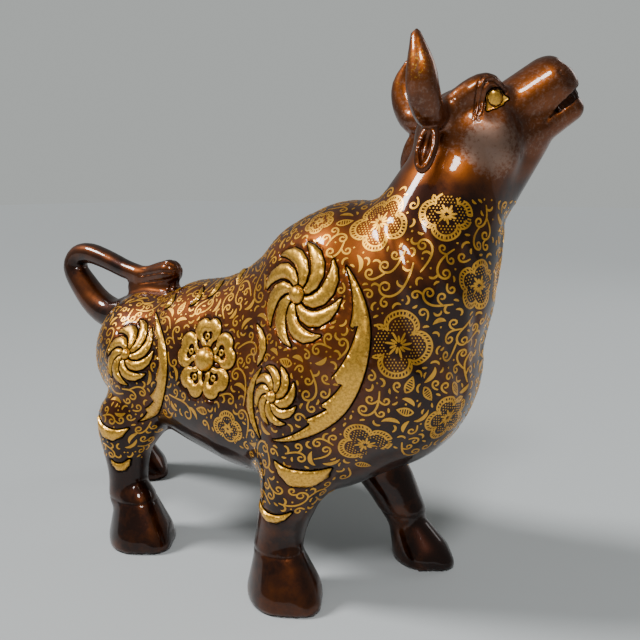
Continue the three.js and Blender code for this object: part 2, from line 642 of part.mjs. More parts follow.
/** Closes edges until only the wanted number of triangles is left. */
function facet({ points, triangles }, wanted) {
  const alive = triangles.map(() => true);
  const faces = points.map(() => []);
  triangles.forEach((t, i) => t.forEach((v) => faces[v].push(i)));
  const quadric = points.map(() => new Float64Array(10));
  const plane = (t) => {
    const [a, b, c] = t.map((i) => points[i]);
    const n = cross(sub(b, a), sub(c, a));
    return { n, area: Math.hypot(...n) / 2 };
  };
  for (const t of triangles) {
    const { n, area } = plane(t);
    if (area < 1e-9) continue;
    const [a, b, c] = n.map((v) => v / (2 * area));
    const d = -dot([a, b, c], points[t[0]]);
    const q = [a * a, a * b, a * c, a * d, b * b, b * c, b * d, c * c, c * d, d * d];
    for (const v of t) q.forEach((w, i) => { quadric[v][i] += w * area; });
  }
  const error = (q, [x, y, z]) => q[0] * x * x + 2 * q[1] * x * y + 2 * q[2] * x * z
    + 2 * q[3] * x + q[4] * y * y + 2 * q[5] * y * z + 2 * q[6] * y + q[7] * z * z
    + 2 * q[8] * z + q[9];
  const best = (u, v) => {
    const q = quadric[u].map((w, i) => w + quadric[v][i]);
    const mid = [0, 1, 2].map((m) => (points[u][m] + points[v][m]) / 2);
    const span = Math.hypot(...sub(points[u], points[v]));
    let place = [points[u], points[v], mid].reduce((a, b) => (error(q, a) <= error(q, b) ? a : b));
    const det = q[0] * (q[4] * q[7] - q[5] * q[5]) - q[1] * (q[1] * q[7] - q[5] * q[2])
      + q[2] * (q[1] * q[5] - q[4] * q[2]);
    const trace = q[0] + q[4] + q[7];
    if (Math.abs(det) > 1e-6 * trace ** 3) {
      const r = [-q[3], -q[6], -q[8]];
      const x = (r[0] * (q[4] * q[7] - q[5] * q[5]) - q[1] * (r[1] * q[7] - q[5] * r[2])
        + q[2] * (r[1] * q[5] - q[4] * r[2])) / det;
      const y = (q[0] * (r[1] * q[7] - r[2] * q[5]) - r[0] * (q[1] * q[7] - q[5] * q[2])
        + q[2] * (q[1] * r[2] - r[1] * q[2])) / det;
      const z = (q[0] * (q[4] * r[2] - r[1] * q[5]) - q[1] * (q[1] * r[2] - r[1] * q[2])
        + r[0] * (q[1] * q[5] - q[4] * q[2])) / det;
      if (Math.hypot(x - mid[0], y - mid[1], z - mid[2]) < span) place = [x, y, z];
    }
    return { place, cost: Math.max(error(q, place), 0) + 2e-5 * span ** 4 };
  };
  const version = points.map(() => 0);
  const heap = new Heap();
  const offer = (u, v) => {
    const { place, cost } = best(u, v);
    heap.push({ u, v, place, cost, vu: version[u], vv: version[v] });
  };
  for (const t of triangles) {
    for (let i = 0; i < 3; i++) if (t[i] < t[(i + 1) % 3]) offer(t[i], t[(i + 1) % 3]);
  }
  const ring = (v) => new Set(faces[v].flatMap((i) => triangles[i]).filter((w) => w !== v));
  /** True when moving v to the place neither folds nor crushes a triangle without other. */
  const keeps = (v, other, place) => faces[v].every((i) => {
    const t = triangles[i];
    if (t.includes(other)) return true;
    const before = plane(t);
    const old = points[v];
    points[v] = place;
    const after = plane(t);
    const [a, b, c] = t.map((w) => points[w]);
    points[v] = old;
    const longest = Math.max(Math.hypot(...sub(a, b)), Math.hypot(...sub(b, c)),
      Math.hypot(...sub(c, a)));
    const cosine = dot(before.n, after.n) / (4 * before.area * after.area + 1e-12);
    return cosine > 0.35 && 2 * after.area > 0.09 * longest * longest;
  });
  let count = triangles.length;
  while (count > wanted && heap.items.length) {
    const { u, v, place, vu, vv } = heap.pop();
    if (version[u] !== vu || version[v] !== vv) continue;
    const [ru, rv] = [ring(u), ring(v)];
    const shared = [...ru].filter((w) => rv.has(w));
    if (shared.length !== 2 || shared.some((w) => faces[w].length < 4)) continue;
    if (!keeps(u, v, place) || !keeps(v, u, place)) continue;
    for (const i of faces[v]) {
      if (triangles[i].includes(u)) {
        alive[i] = false;
        count--;
        for (const w of triangles[i]) if (w !== v) faces[w] = faces[w].filter((j) => j !== i);
      } else {
        triangles[i] = triangles[i].map((w) => (w === v ? u : w));
        faces[u].push(i);
      }
    }
    faces[v] = [];
    points[u] = place;
    quadric[v].forEach((w, i) => { quadric[u][i] += w; });
    version[u]++;
    version[v] = -1;
    for (const w of ring(u)) offer(u, w);
  }
  const renumber = new Map();
  const kept = [];
  const out = triangles.filter((t, i) => alive[i]).map((t) => t.map((v) => {
    if (!renumber.has(v)) { renumber.set(v, kept.length); kept.push(points[v]); }
    return renumber.get(v);
  }));
  return { points: kept, triangles: out };
}

/** The ox as a closed triangle mesh standing on the floor. */
function oxMesh() {
  let mesh = nets(field, [-222, -96, -6], [262, 92, 398], CELL);
  relax(mesh, 0.5);
  settle(mesh.points, field, 3, CELL);
  const wanted = (p) => {
    if (Math.abs(p[1]) < 38 || p[2] < 55) return 99;
    return Math.abs(carving(p, slope(field, p)).d - 0.6) < 1.9 ? FINE_EDGE : 99;
  };
  mesh = refine(refine(mesh, wanted), wanted);
  settle(mesh.points, field, 1, 0.5);
  for (const p of mesh.points) {
    const n = slope(field, p);
    const h = relief(p, n);
    for (let m = 0; m < 3; m++) p[m] += h * n[m];
  }
  mesh = facet(mesh, TRIANGLES);
  for (const p of mesh.points) if (p[2] < 0.3) p[2] = 0;
  return mesh;
}

function build() {
  const { points, triangles } = oxMesh();
  const shape = new THREE.BufferGeometry();
  shape.setAttribute('position', new THREE.Float32BufferAttribute(points.flat(), 3));
  shape.setIndex(triangles.flat());
  shape.computeBoundingBox();
  const { min, max } = shape.boundingBox;
  shape.translate(-(min.x + max.x) / 2, -(min.y + max.y) / 2, -min.z);
  shape.computeVertexNormals();
  const brass = new THREE.MeshStandardMaterial({ color: 0x5a3418, metalness: 1, roughness: 0.35 });
  brass.name = 'patinated_brass';
  const ox = new THREE.Mesh(shape, brass);
  ox.name = 'ox';
  const statue = new THREE.Group();
  statue.name = 'brass_ox_statue';
  statue.add(ox);
  return statue;
}

const group = build();

export default group;
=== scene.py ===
"""Looks of the brass ox statue: the lacquered casting, its carving and its gilt scrollwork.

Lengths are millimetres inside the classes and metres in the meshes. +X is forward, +Y the
ox's left and +Z up. The body is drawn about a point on the floor between the legs and moved
at the end, so that the middle of its box stands on the origin, as the solid does.
"""

from __future__ import annotations

import logging
from dataclasses import dataclass, field
from enum import Enum, IntEnum
from functools import partial
from typing import Any, Callable, Optional, Protocol, Sequence

import bpy
import numpy as np
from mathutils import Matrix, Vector

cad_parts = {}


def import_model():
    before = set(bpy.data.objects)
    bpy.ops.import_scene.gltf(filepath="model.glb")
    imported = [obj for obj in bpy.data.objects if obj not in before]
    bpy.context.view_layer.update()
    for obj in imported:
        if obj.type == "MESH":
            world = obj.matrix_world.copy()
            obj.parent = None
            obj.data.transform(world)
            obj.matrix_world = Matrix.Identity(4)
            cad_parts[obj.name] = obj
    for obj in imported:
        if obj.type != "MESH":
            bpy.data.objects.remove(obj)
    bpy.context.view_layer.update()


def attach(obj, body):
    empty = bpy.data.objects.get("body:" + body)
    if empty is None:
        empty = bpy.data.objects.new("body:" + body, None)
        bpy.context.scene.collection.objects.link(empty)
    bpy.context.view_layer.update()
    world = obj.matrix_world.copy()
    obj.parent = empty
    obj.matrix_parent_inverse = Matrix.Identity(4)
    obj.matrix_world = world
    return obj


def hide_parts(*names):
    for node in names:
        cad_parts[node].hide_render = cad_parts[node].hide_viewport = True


log = logging.getLogger("ox")

MM = 0.001
FAR = 1e9
Array = np.ndarray
Vec = Sequence[float]


class Side(IntEnum):
    """The ox's own right and left, as the sign of y."""

    RIGHT = -1
    LEFT = 1


# Numbers and turns.


def smooth(t: Array) -> Array:
    """Rises from 0 to 1 as t does, level at both ends: 3 t squared less 2 t cubed."""
    s = np.clip(t, 0.0, 1.0)
    return s * s * (3.0 - 2.0 * s)


def unit(v: Array) -> Array:
    """Vectors of length one along the rows of v."""
    return v / np.maximum(np.linalg.norm(v, axis=-1, keepdims=True), 1e-12)


def axes(yaw: float, pitch: float = 0.0, roll: float = 0.0) -> Array:
    """Turned axes as rows: yaw to the left, then pitch up, then roll.

    Args:
        yaw: Turn about the upright axis, degrees.
        pitch: Tilt of the first axis above level, degrees.
        roll: Turn about the first axis, degrees.

    Returns:
        A 3 by 3 array whose rows are the turned x, y and z axes.
    """
    y, p, r = np.radians([yaw, pitch, roll])
    e1 = np.array([np.cos(y) * np.cos(p), np.sin(y) * np.cos(p), np.sin(p)])
    e2 = np.array([-np.sin(y), np.cos(y), 0.0])
    e3 = np.cross(e1, e2)
    return np.array([e1, np.cos(r) * e2 + np.sin(r) * e3, np.cos(r) * e3 - np.sin(r) * e2])


# Volumes as distance fields: less than zero inside.


class Volume(Protocol):
    """A distance field with a ball round it, so that far points can be passed over."""

    centre: Array
    reach: float

    def distance(self, p: Array) -> Array:
        """Distances of the points p to the surface."""


class Cone:
    """Round cone: a ball of radius ra run in a straight line to a ball of radius rb."""

    def __init__(self, a: Vec, b: Vec, ra: float, rb: float) -> None:
        """Keeps the two centres and radii and works out the ball round them.

        Args:
            a: Centre of the first ball.
            b: Centre of the second.
            ra: Radius of the first.
            rb: Radius of the second.
        """
        self.a, self.b = np.asarray(a, float), np.asarray(b, float)
        self.ra, self.rb = ra, rb
        self.centre = (self.a + self.b) / 2
        self.reach = float(np.linalg.norm(self.b - self.a)) / 2 + max(ra, rb)

    def distance(self, p: Array) -> Array:
        """Distance to the side or to an end ball, whichever the point lies against.

        Args:
            p: Points, one a row.

        Returns:
            Distances, less than zero inside.
        """
        ba = self.b - self.a
        l2 = ba @ ba
        rr = self.ra - self.rb
        a2 = l2 - rr * rr
        pa = p - self.a
        h = pa @ ba
        g = h - l2
        w = pa * l2 - h[:, None] * ba
        x2 = np.einsum("ij,ij->i", w, w)
        y2 = h * h * l2
        z2 = g * g * l2
        k = np.sign(rr) * rr * rr * x2
        tip = np.sqrt(x2 + z2) / l2 - self.rb
        foot = np.sqrt(x2 + y2) / l2 - self.ra
        side = (np.sqrt(x2 * a2 / l2) + h * rr) / l2 - self.ra
        return np.where(np.sign(g) * a2 * z2 > k, tip,
                        np.where(np.sign(h) * a2 * y2 < k, foot, side))


class Egg:
    """Ellipsoid with half axes r along the rows of turn."""

    def __init__(self, centre: Vec, r: Vec, turn: Optional[Array] = None) -> None:
        """Keeps the centre, the half axes and the turn.

        Args:
            centre: Middle of the egg.
            r: The three half axes.
            turn: Turned axes as rows; none for level.
        """
        self.centre = np.asarray(centre, float)
        self.r = np.asarray(r, float)
        self.turn = np.eye(3) if turn is None else turn
        self.reach = float(self.r.max())

    def distance(self, p: Array) -> Array:
        """First order distance: k0 (k0 - 1) / k1 with k0 = |q/r| and k1 = |q/r/r|.

        Args:
            p: Points, one a row.

        Returns:
            Distances, less than zero inside.
        """
        q = (p - self.centre) @ self.turn.T / self.r
        k0 = np.linalg.norm(q, axis=1)
        k1 = np.linalg.norm(q / self.r, axis=1)
        return k0 * (k0 - 1.0) / np.maximum(k1, 1e-9)


def ball(centre: Vec, r: float) -> Egg:
    """Ball of radius r."""
    return Egg(centre, (r, r, r))


def join(a: Array, b: Array, k: float) -> Array:
    """Smaller of two distances with a soft join k wide.

    Args:
        a: Distances to one volume.
        b: Distances to the other.
        k: Width of the soft join; 0 leaves it sharp.

    Returns:
        Distances to both as one.
    """
    if k <= 0:
        return np.minimum(a, b)
    h = np.maximum(k - np.abs(a - b), 0.0) / k
    return np.minimum(a, b) - h * h * k / 4


class Blend:
    """Volumes run together in order, each with its own soft join."""

    def __init__(self, *parts: tuple[Volume, float]) -> None:
        """Keeps the parts and works out the ball round them."""
        self.parts = parts
        low = np.min([v.centre - v.reach for v, _ in parts], axis=0)
        high = np.max([v.centre + v.reach for v, _ in parts], axis=0)
        self.centre = (low + high) / 2
        self.reach = max(float(np.linalg.norm(v.centre - self.centre)) + v.reach
                         for v, _ in parts)

    def distance(self, p: Array) -> Array:
        """Joined distance; a part is only worked out where it can come nearest.

        Args:
            p: Points, one a row.

        Returns:
            Distances, less than zero inside.
        """
        d = np.full(len(p), FAR)
        for volume, k in self.parts:
            limit = d + k + volume.reach
            gap = p - volume.centre
            near = (limit > 0) & (np.einsum("ij,ij->i", gap, gap) < limit * limit)
            if not near.any():
                continue
            new = volume.distance(p[near])
            old = d[near]
            d[near] = np.where(old > FAR / 10, new, join(old, new, k))
        return d


class Carved:
    """A volume with another taken out of it, the rim softened over k."""

    def __init__(self, body: Volume, cut: Volume, k: float) -> None:
        """Keeps both volumes; the ball is the body's."""
        self.body, self.cut, self.k = body, cut, k
        self.centre, self.reach = body.centre, body.reach

    def distance(self, p: Array) -> Array:
        """Larger of the body's distance and the cut's turned over, softly joined."""
        return -join(-self.body.distance(p), self.cut.distance(p), self.k)


def chain(points: Sequence[Vec], radii: Vec, k: float = 2.0) -> Blend:
    """A limb: round cones from point to point."""
    return Blend(*[(Cone(a, b, ra, rb), k) for a, b, ra, rb
                   in zip(points, points[1:], radii, radii[1:])])


def limb(points: Sequence[Vec], radii: Vec, finer: int = 3) -> Blend:
    """A smooth limb: points and radii follow a Catmull-Rom curve, finer cones to a span.

    Args:
        points: Places along the middle.
        radii: Radius at each place.
        finer: Cones from one place to the next.

    Returns:
        The limb.
    """
    rows = np.column_stack([np.asarray(points, float), radii])
    rows = np.vstack([2 * rows[0] - rows[1], rows, 2 * rows[-1] - rows[-2]])
    t = (np.arange(finer) / finer)[:, None]
    spans = [0.5 * (2 * b + (c - a) * t + (2 * a - 5 * b + 4 * c - d) * t ** 2
                    + (3 * b - a - 3 * c + d) * t ** 3)
             for a, b, c, d in zip(rows, rows[1:], rows[2:], rows[3:])]
    run = np.vstack(spans + [rows[-2:-1]])
    return chain(run[:, :3], run[:, 3], 0.0)


# The ox's body.


@dataclass(frozen=True)
class Hoof:
    """Place and direction of a hoof: sole centre, toe direction in degrees, size, lean."""

    x: float
    y: float
    yaw: float
    size: float = 1.0
    lean: float = 0.0

    def at(self, f: float, l: float, z: float) -> Array:
        """A point f forward, l to the left and z up in the hoof's own frame."""
        u, v, w = axes(self.yaw)
        return np.array([self.x, self.y, 0.0]) + self.size * (f * u + l * v + z * w)

    def volume(self) -> Volume:
        """Bell shaped hoof: a round wall, a heel behind and a keel down the toe.

        Returns:
            The hoof.
        """
        s, b = self.size, self.lean
        wall = Cone(self.at(4, 0, 4), self.at(-4 - b, 0, 38), 26.5 * s, 14.5 * s)
        heel = Cone(self.at(-11, 0, 4), self.at(-9 - b, 0, 34), 19 * s, 13 * s)
        keel = Cone(self.at(26, 0, 3), self.at(6 - b, 0, 37), 9.5 * s, 6 * s)
        return Blend((wall, 0), (heel, 8), (keel, 9))


@dataclass
class OxForm:
    """The plain form of the whole ox, as one distance field."""

    head_yaw: float = 33.4
    head_axis_x: float = 165.0
    skull_tilt: float = 34.0
    mouth_tilt: float = 41.0
    nostril_tilt: float = 25.0
    nose_flat: float = 120.0  # radius of the great ball that flattens the nose
    chest_half_width: float = 73.0
    rump_half_width: float = 58.0
    right_fore: Hoof = Hoof(88, -56, -16)
    left_fore: Hoof = Hoof(150, 47, -5, 0.78, 14)
    right_hind: Hoof = Hoof(-63, -55, -12)
    left_hind: Hoof = Hoof(-170, 43, 0, 0.96, 9)
    whole: Volume = field(init=False)

    def __post_init__(self) -> None:
        """Runs the parts of the body together."""
        self.whole = Blend(
            (self.trunk(), 0),
            (self.leg(self.right_fore, [[106, -44, 150], [99, -50, 112], [94, -52, 84],
                                        [87, -52, 62], [81, -52, 36]],
                      [36, 27, 22, 19, 17]), 14),
            (self.leg(self.left_fore, [[96, 40, 140], [100, 46, 90], [121, 48, 58],
                                       [134, 49, 36]], [34, 24, 19.5, 16.5]), 12),
            (self.leg(self.right_hind, [[-64, -34, 145], [-64, -41, 119], [-74, -47, 103],
                                        [-76, -52, 84], [-76, -53, 60], [-77, -53, 36]],
                      [34, 26.5, 28, 21, 16.5, 16]), 12),
            (self.leg(self.left_hind, [[-86, 36, 145], [-126, 43, 110], [-166, 44, 86],
                                       [-181, 44, 60], [-183, 43, 36]],
                      [38, 28, 20, 16, 15]), 12),
            (self.tail(), 6), (self.head(), 8),
            *((self.horn(side), 4) for side in Side), *((self.ear(side), 2) for side in Side))

    def head_point(self, s: float, l: float, z: float) -> Array:
        """A point of the head: s along the muzzle, l to its left, z up from the floor."""
        u, v, w = axes(self.head_yaw)
        return np.array([self.head_axis_x, 0.0, 0.0]) + s * u + l * v + z * w

    def trunk(self) -> Volume:
        """Chest, back, belly, rump and neck.

        Returns:
            The trunk with the neck.
        """
        belly = [(limb([[-44, e * 16, 137], [34, e * 15, 131], [100, e * 14, 130]],
                       [43, 54, 55], 2), 0) for e in Side]
        return Blend(
            (Egg([126, 0, 176], [81, self.chest_half_width, 84]), 0),
            (limb([[-20, 0, 164], [20, 0, 177], [74, 0, 207], [94, 0, 220],
                   [117, 0, 225]], [49, 46, 50, 55, 60], 2), 12),
            (Cone([-22, 0, 162], [80, 0, 165], 54, 62), 18),
            (Blend(*belly), 14),
            (Egg([-86, 0, 151], [52, self.rump_half_width, 55]), 22),
            (Cone([161, 0, 227], self.head_point(19, 0, 291), 54, 36), 12))

    def tail(self) -> Volume:
        """Looped tail: out from the rump, round and forward again, with a tuft of locks.

        Returns:
            The tail.
        """
        loop = limb([[-110, 0, 186], [-140, 0, 176.5], [-166, 0, 184], [-187, 0, 202],
                     [-198, 0, 217], [-191, 0, 229], [-174, 0, 232], [-150, 0, 227],
                     [-126, 0, 220], [-104, 0, 216]],
                    [16, 15, 14, 12.5, 11, 10, 9.5, 9, 8.5, 8])
        tuft = limb([[-106, 0, 216], [-95, 0, 217], [-83, 0, 219.5], [-71, 0, 221.5]],
                    [8.5, 8.7, 9.7, 10.7])
        return Blend((loop, 0), (tuft, 1), (Cone([-112, 0, 205], [-74, 0, 209], 9, 9), 5))

    def head(self) -> Volume:
        """Skull, muzzle, jaw, lips, cheeks and brows, less mouth, nostrils and eye sockets.

        Returns:
            The head without horns and ears.
        """
        hp, yaw = self.head_point, self.head_yaw
        parts: list[tuple[Volume, float]] = [
            (Egg(hp(25, 0, 327), [32, 27, 29.5], axes(yaw, self.skull_tilt)), 0),
            (Cone(hp(45, 0, 336), hp(78.5, 0, 357.3), 18, 19), 8),
            (Cone(hp(46, 0, 292), hp(68, 0, 322), 17.5, 12.5), 8)]
        for e in Side:
            parts.append((Cone(hp(64, e * 5, 327), hp(92.2, e * 6, 343), 13, 8), 5))
            parts.append((Egg(hp(35, e * 13, 317), [24, 16.5, 25.5]), 14))
            parts.append((limb([hp(12, e * 17, 341), hp(24, e * 19.5, 351), hp(34, e * 18.5, 355.5),
                                hp(41, e * 16.5, 354), hp(48, e * 14, 350)],
                               [8, 8, 7.8, 5.5, 3.5]), 6))
        whole: Volume = Blend(*parts)
        tip = hp(88, 0, 370.8) + self.nose_flat * (0.72 * axes(yaw)[0] + 0.69 * axes(yaw)[2])
        whole = Carved(whole, ball(tip, self.nose_flat), 5)
        mouth = Egg(hp(90.4, 0, 349.4), [17.5, 26, 2.4], axes(yaw, self.mouth_tilt))
        whole = Carved(whole, mouth, 1.5)
        nostril_turn = axes(yaw, self.nostril_tilt)
        for e in Side:
            whole = Carved(whole, Egg(hp(86, e * 10, 373), [4.5, 4, 5], nostril_turn), 2)
            whole = Carved(whole, ball(hp(40, e * 40, 348), 16.5), 4)
        return whole

    def horn(self, side: Side) -> Volume:
        """Upright horn, leaf shaped from the side; the left one leans further forward.

        Args:
            side: Side of the ox.

        Returns:
            The horn.
        """
        hp = self.head_point
        tip = hp(-12, -38, 382) if side is Side.RIGHT else hp(-7, 35, 377)
        return limb([hp(6, side * 18, 338), hp(-2, side * 31, 339), hp(-7, side * 39, 350),
                     hp(-9, side * 41, 363), tip], [9, 9.5, 10, 8.5, 3])

    def ear(self, side: Side) -> Volume:
        """Small drooping ear with a hollow in its outer face.

        Args:
            side: Side of the ox.

        Returns:
            The ear.
        """
        turn = axes(self.head_yaw, -16, side * 24)
        leaf = Egg(self.head_point(-3, side * 34, 318), [7, 6.5, 18], turn)
        hollow = Egg(self.head_point(-5, side * 39.5, 317), [3.2, 5.0, 11.5], turn)
        return Carved(leaf, hollow, 3)

    def leg(self, hoof: Hoof, points: Sequence[Vec], radii: Vec) -> Volume:
        """A leg from the shoulder or hip down, run into its hoof."""
        return Blend((limb(points, radii), 0), (hoof.volume(), 3))

    def distance(self, p: Array) -> Array:
        """Distance to the whole ox, cut level with the floor."""
        return np.maximum(self.whole.distance(p), -p[:, 2])

    def slope(self, p: Array, step: float = 0.25) -> Array:
        """Gradient of the distance by central differences of the given step.

        Args:
            p: Points, one a row.
            step: Half the span of a difference.

        Returns:
            Gradients, one a row.
        """
        out = np.empty_like(p)
        for m in range(3):
            e = np.zeros(3)
            e[m] = step
            out[:, m] = (self.distance(p + e) - self.distance(p - e)) / (2 * step)
        return out

    def settle(self, p: Array, steps: int = 2, limit: float = 3.0) -> Array:
        """Moves points on to the surface by Newton steps no longer than limit.

        Args:
            p: Points, one a row.
            steps: Number of steps.
            limit: Longest step.

        Returns:
            The moved points.
        """
        p = p.copy()
        for _ in range(steps):
            g = self.slope(p)
            t = self.distance(p) / np.maximum(np.einsum("ij,ij->i", g, g), 0.1)
            p -= np.clip(t, -limit, limit)[:, None] * g
        return p


# Skin: the surface of a distance field as a closed mesh.


CORNERS = np.array([[c & 1, c >> 1 & 1, c >> 2 & 1] for c in range(8)])
UNSEEN = 999.0  # distance noted where only the sign is worked out
BARELY_IN = -0.3  # distance given to a corner that is filled
FIELD_ERROR = 4.0  # how far a softly joined distance can be out
EDGE_KEY = 10_000_000  # more than the points of any skin


def hangs_together(marks: Sequence[bool]) -> bool:
    """True when the marked corners of a cell are joined along its edges.

    Args:
        marks: One mark for each corner of the cell.

    Returns:
        Whether the marked corners hang together.
    """
    start = [c for c in range(8) if marks[c]][:1]
    seen = set(start)
    while start:
        c = start.pop()
        fresh = {c ^ bit for bit in (1, 2, 4) if marks[c ^ bit]} - seen
        seen |= fresh
        start.extend(fresh)
    return len(seen) == sum(marks)


def is_pinched(code: int) -> bool:
    """True when two sheets of the surface would meet in a cell with these inside corners.

    Args:
        code: The inside corners, one bit each.

    Returns:
        Whether the cell is pinched.
    """
    inside = [bool(code >> c & 1) for c in range(8)]
    if not hangs_together(inside) or not hangs_together([not i for i in inside]):
        return True
    for bit in (1, 2, 4):
        p, q = [w for w in (1, 2, 4) if w != bit]
        for base in (0, bit):
            if (inside[base] == inside[base | p | q] and inside[base | p] == inside[base | q]
                    and inside[base] != inside[base | p]):
                return True
    return False


PINCHED = np.array([is_pinched(code) for code in range(256)])


@dataclass
class Skin:
    """A closed triangle mesh: points in millimetres and triangles that face outwards."""

    points: Array
    triangles: Array

    @classmethod
    def of(cls, form: OxForm, low: Vec, high: Vec, cell: float, block: int = 4) -> Skin:
        """Surface nets: one point per crossed cell, the mean of its edge crossings.

        Args:
            form: The form to cover.
            low: Lowest corner of the grid.
            high: Highest corner of the grid.
            cell: Width of a cell.
            block: Cells along a block; blocks far from the surface aren't worked out.

        Returns:
            The closed skin.
        """
        value = cls.sampled(form, np.asarray(low, float), np.asarray(high, float), cell, block)
        cls.part_sheets(value)
        inside = value < 0
        n = np.array(value.shape)
        corner = [inside[tuple(slice(a, m - 1 + a) for a, m in zip(c, n))] for c in CORNERS]
        count = sum(c.astype(np.int8) for c in corner)
        cells = np.argwhere((count > 0) & (count < 8))
        number = np.full(n, -1, np.int64)
        number[tuple(cells.T)] = np.arange(len(cells))
        v = np.stack([value[tuple((cells + c).T)] for c in CORNERS], axis=1)
        total, hits = np.zeros((len(cells), 3)), np.zeros(len(cells))
        for c in range(8):
            for bit in (1, 2, 4):
                if c & bit:
                    continue
                a, b = v[:, c], v[:, c | bit]
                crossed = (a < 0) != (b < 0)
                t = np.where(crossed, a / np.where(crossed, a - b, 1.0), 0.0)
                at = CORNERS[c] + t[:, None] * (CORNERS[c | bit] - CORNERS[c])
                total += crossed[:, None] * at
                hits += crossed
        points = np.asarray(low) + (cells + total / hits[:, None]) * cell
        faces = []
        for m in range(3):
            one = np.eye(3, dtype=int)
            ahead = tuple(slice(1, k - 1 + (i == m)) for i, k in enumerate(n - 1))
            edge = inside[ahead]
            first = edge[tuple(slice(0, -1) if i == m else slice(None) for i in range(3))]
            second = edge[tuple(slice(1, None) if i == m else slice(None) for i in range(3))]
            at = np.argwhere(first != second) + 1
            here = inside[tuple(at.T)]
            u, w = one[(m + 1) % 3], one[(m + 2) % 3]
            ring = [number[tuple((at - s).T)] for s in (u + w, w, 0 * u, u)]
            quad = np.stack(ring, axis=1)
            quad[~here] = quad[~here, ::-1]
            faces += [quad[:, [0, 1, 2]], quad[:, [0, 2, 3]]]
        return cls(points, np.concatenate(faces))

    @staticmethod
    def sampled(form: OxForm, low: Array, high: Array, cell: float, block: int) -> Array:
        """Distances on a grid; blocks far from the surface only get their sign.

        Args:
            form: The form to cover.
            low: Lowest corner of the grid.
            high: Highest corner of the grid.
            cell: Width of a cell.
            block: Cells along a block.

        Returns:
            Distances at the grid's corners.
        """
        blocks = np.ceil((high - low) / cell / block).astype(int)
        axes_mid = [low[i] + (np.arange(blocks[i]) + 0.5) * block * cell for i in range(3)]
        mid = np.stack(np.meshgrid(*axes_mid, indexing="ij"), -1).reshape(-1, 3)
        d = form.distance(mid).reshape(blocks)
        near = np.abs(d) < cell * block * 1.1 + FIELD_ERROR
        wide = np.pad(near.repeat(block, 0).repeat(block, 1).repeat(block, 2),
                      ((0, 1), (0, 1), (0, 1)))
        for axis in range(3):
            wide = wide | np.roll(wide, 1, axis)
        sign = np.pad(np.sign(d).repeat(block, 0).repeat(block, 1).repeat(block, 2),
                      ((0, 1), (0, 1), (0, 1)), mode="edge")
        value = sign * UNSEEN
        at = np.argwhere(wide)
        value[wide] = form.distance(low + at * cell)
        return value

    @staticmethod
    def part_sheets(value: Array) -> None:
        """Fills the weakest outer corner of each cell in which two sheets would meet.

        Args:
            value: Distances at the grid's corners, changed in place.
        """
        inside = value < 0
        n = np.array(value.shape)
        code = sum(inside[tuple(slice(a, m - 1 + a) for a, m in zip(c, n))].astype(int) << i
                   for i, c in enumerate(CORNERS))
        queue = np.argwhere(PINCHED[code]).tolist()
        filled = 0
        while queue:
            corners = [tuple(q) for q in np.array(queue.pop()) + CORNERS]
            if not PINCHED[sum((value[q] < 0) << i for i, q in enumerate(corners))]:
                continue
            weak = min((q for q in corners if value[q] >= 0), key=lambda q: value[q])
            value[weak] = BARELY_IN
            filled += 1
            queue.extend((np.array(weak) - CORNERS).tolist())
        log.info("corners filled: %d", filled)

    def relax(self, amount: float) -> None:
        """Evens the points out: each goes part of the way to its neighbours' mean.

        Args:
            amount: Share of the way.
        """
        total, hits = np.zeros_like(self.points), np.zeros(len(self.points))
        for i in range(3):
            a, b = self.triangles[:, i], self.triangles[:, (i + 1) % 3]
            np.add.at(total, a, self.points[b])
            np.add.at(hits, a, 1)
        self.points += amount * (total / hits[:, None] - self.points)

    def split(self, long: Array, edges: Array, of_triangle: Array) -> Skin:
        """Splits the marked edges in two, keeping the mesh closed.

        Args:
            long: True for each edge to be split.
            edges: The two points of each edge.
            of_triangle: The three edges of each triangle, from corner 0-1, 1-2 and 2-0.

        Returns:
            The finer skin.
        """
        middle = np.where(long, len(self.points) + np.cumsum(long) - 1, -1)
        points = np.concatenate([self.points, self.points[edges[long]].mean(axis=1)])
        m = middle[of_triangle]
        marked = (m >= 0).sum(axis=1)
        turn = np.where(marked == 1, (m >= 0).argmax(1), ((m < 0).argmax(1) + 1) % 3)
        turn = np.where((marked == 0) | (marked == 3), 0, turn)
        order = (turn[:, None] + np.arange(3)) % 3
        t = np.take_along_axis(self.triangles, order, 1)
        m = np.take_along_axis(m, order, 1)
        a, b, c = t.T
        ab, bc, ca = m.T
        out = [t[marked == 0]]
        for count, faces in ((1, [(a, ab, c), (ab, b, c)]),
                             (2, [(ab, b, bc), (a, ab, bc), (a, bc, c)]),
                             (3, [(a, ab, ca), (ab, b, bc), (ca, bc, c), (ab, bc, ca)])):
            pick = marked == count
            out += [np.stack([f[pick] for f in face], axis=1) for face in faces]
        return Skin(points, np.concatenate(out))

    def refined(self, wanted: Callable[[Array], Array]) -> Skin:
        """Splits each edge that is longer than wanted(midpoint) allows.

        Args:
            wanted: Gives the longest edge allowed at points.

        Returns:
            The finer skin.
        """
        pairs = np.sort(np.concatenate([self.triangles[:, [0, 1]], self.triangles[:, [1, 2]],
                                        self.triangles[:, [2, 0]]]), axis=1)
        key, back = np.unique(pairs[:, 0] * EDGE_KEY + pairs[:, 1], return_inverse=True)
        edges = np.stack([key // EDGE_KEY, key % EDGE_KEY], axis=1)
        ends = self.points[edges]
        length = np.linalg.norm(ends[:, 0] - ends[:, 1], axis=1)
        long = length > wanted(ends.mean(axis=1))
        return self.split(long, edges, back.reshape(3, -1).T)

    def mesh(self, name: str) -> bpy.types.Object:
        """A smooth shaded object of the skin, in metres, linked to the scene."""
        return make_object(name, self.points * MM, self.triangles)


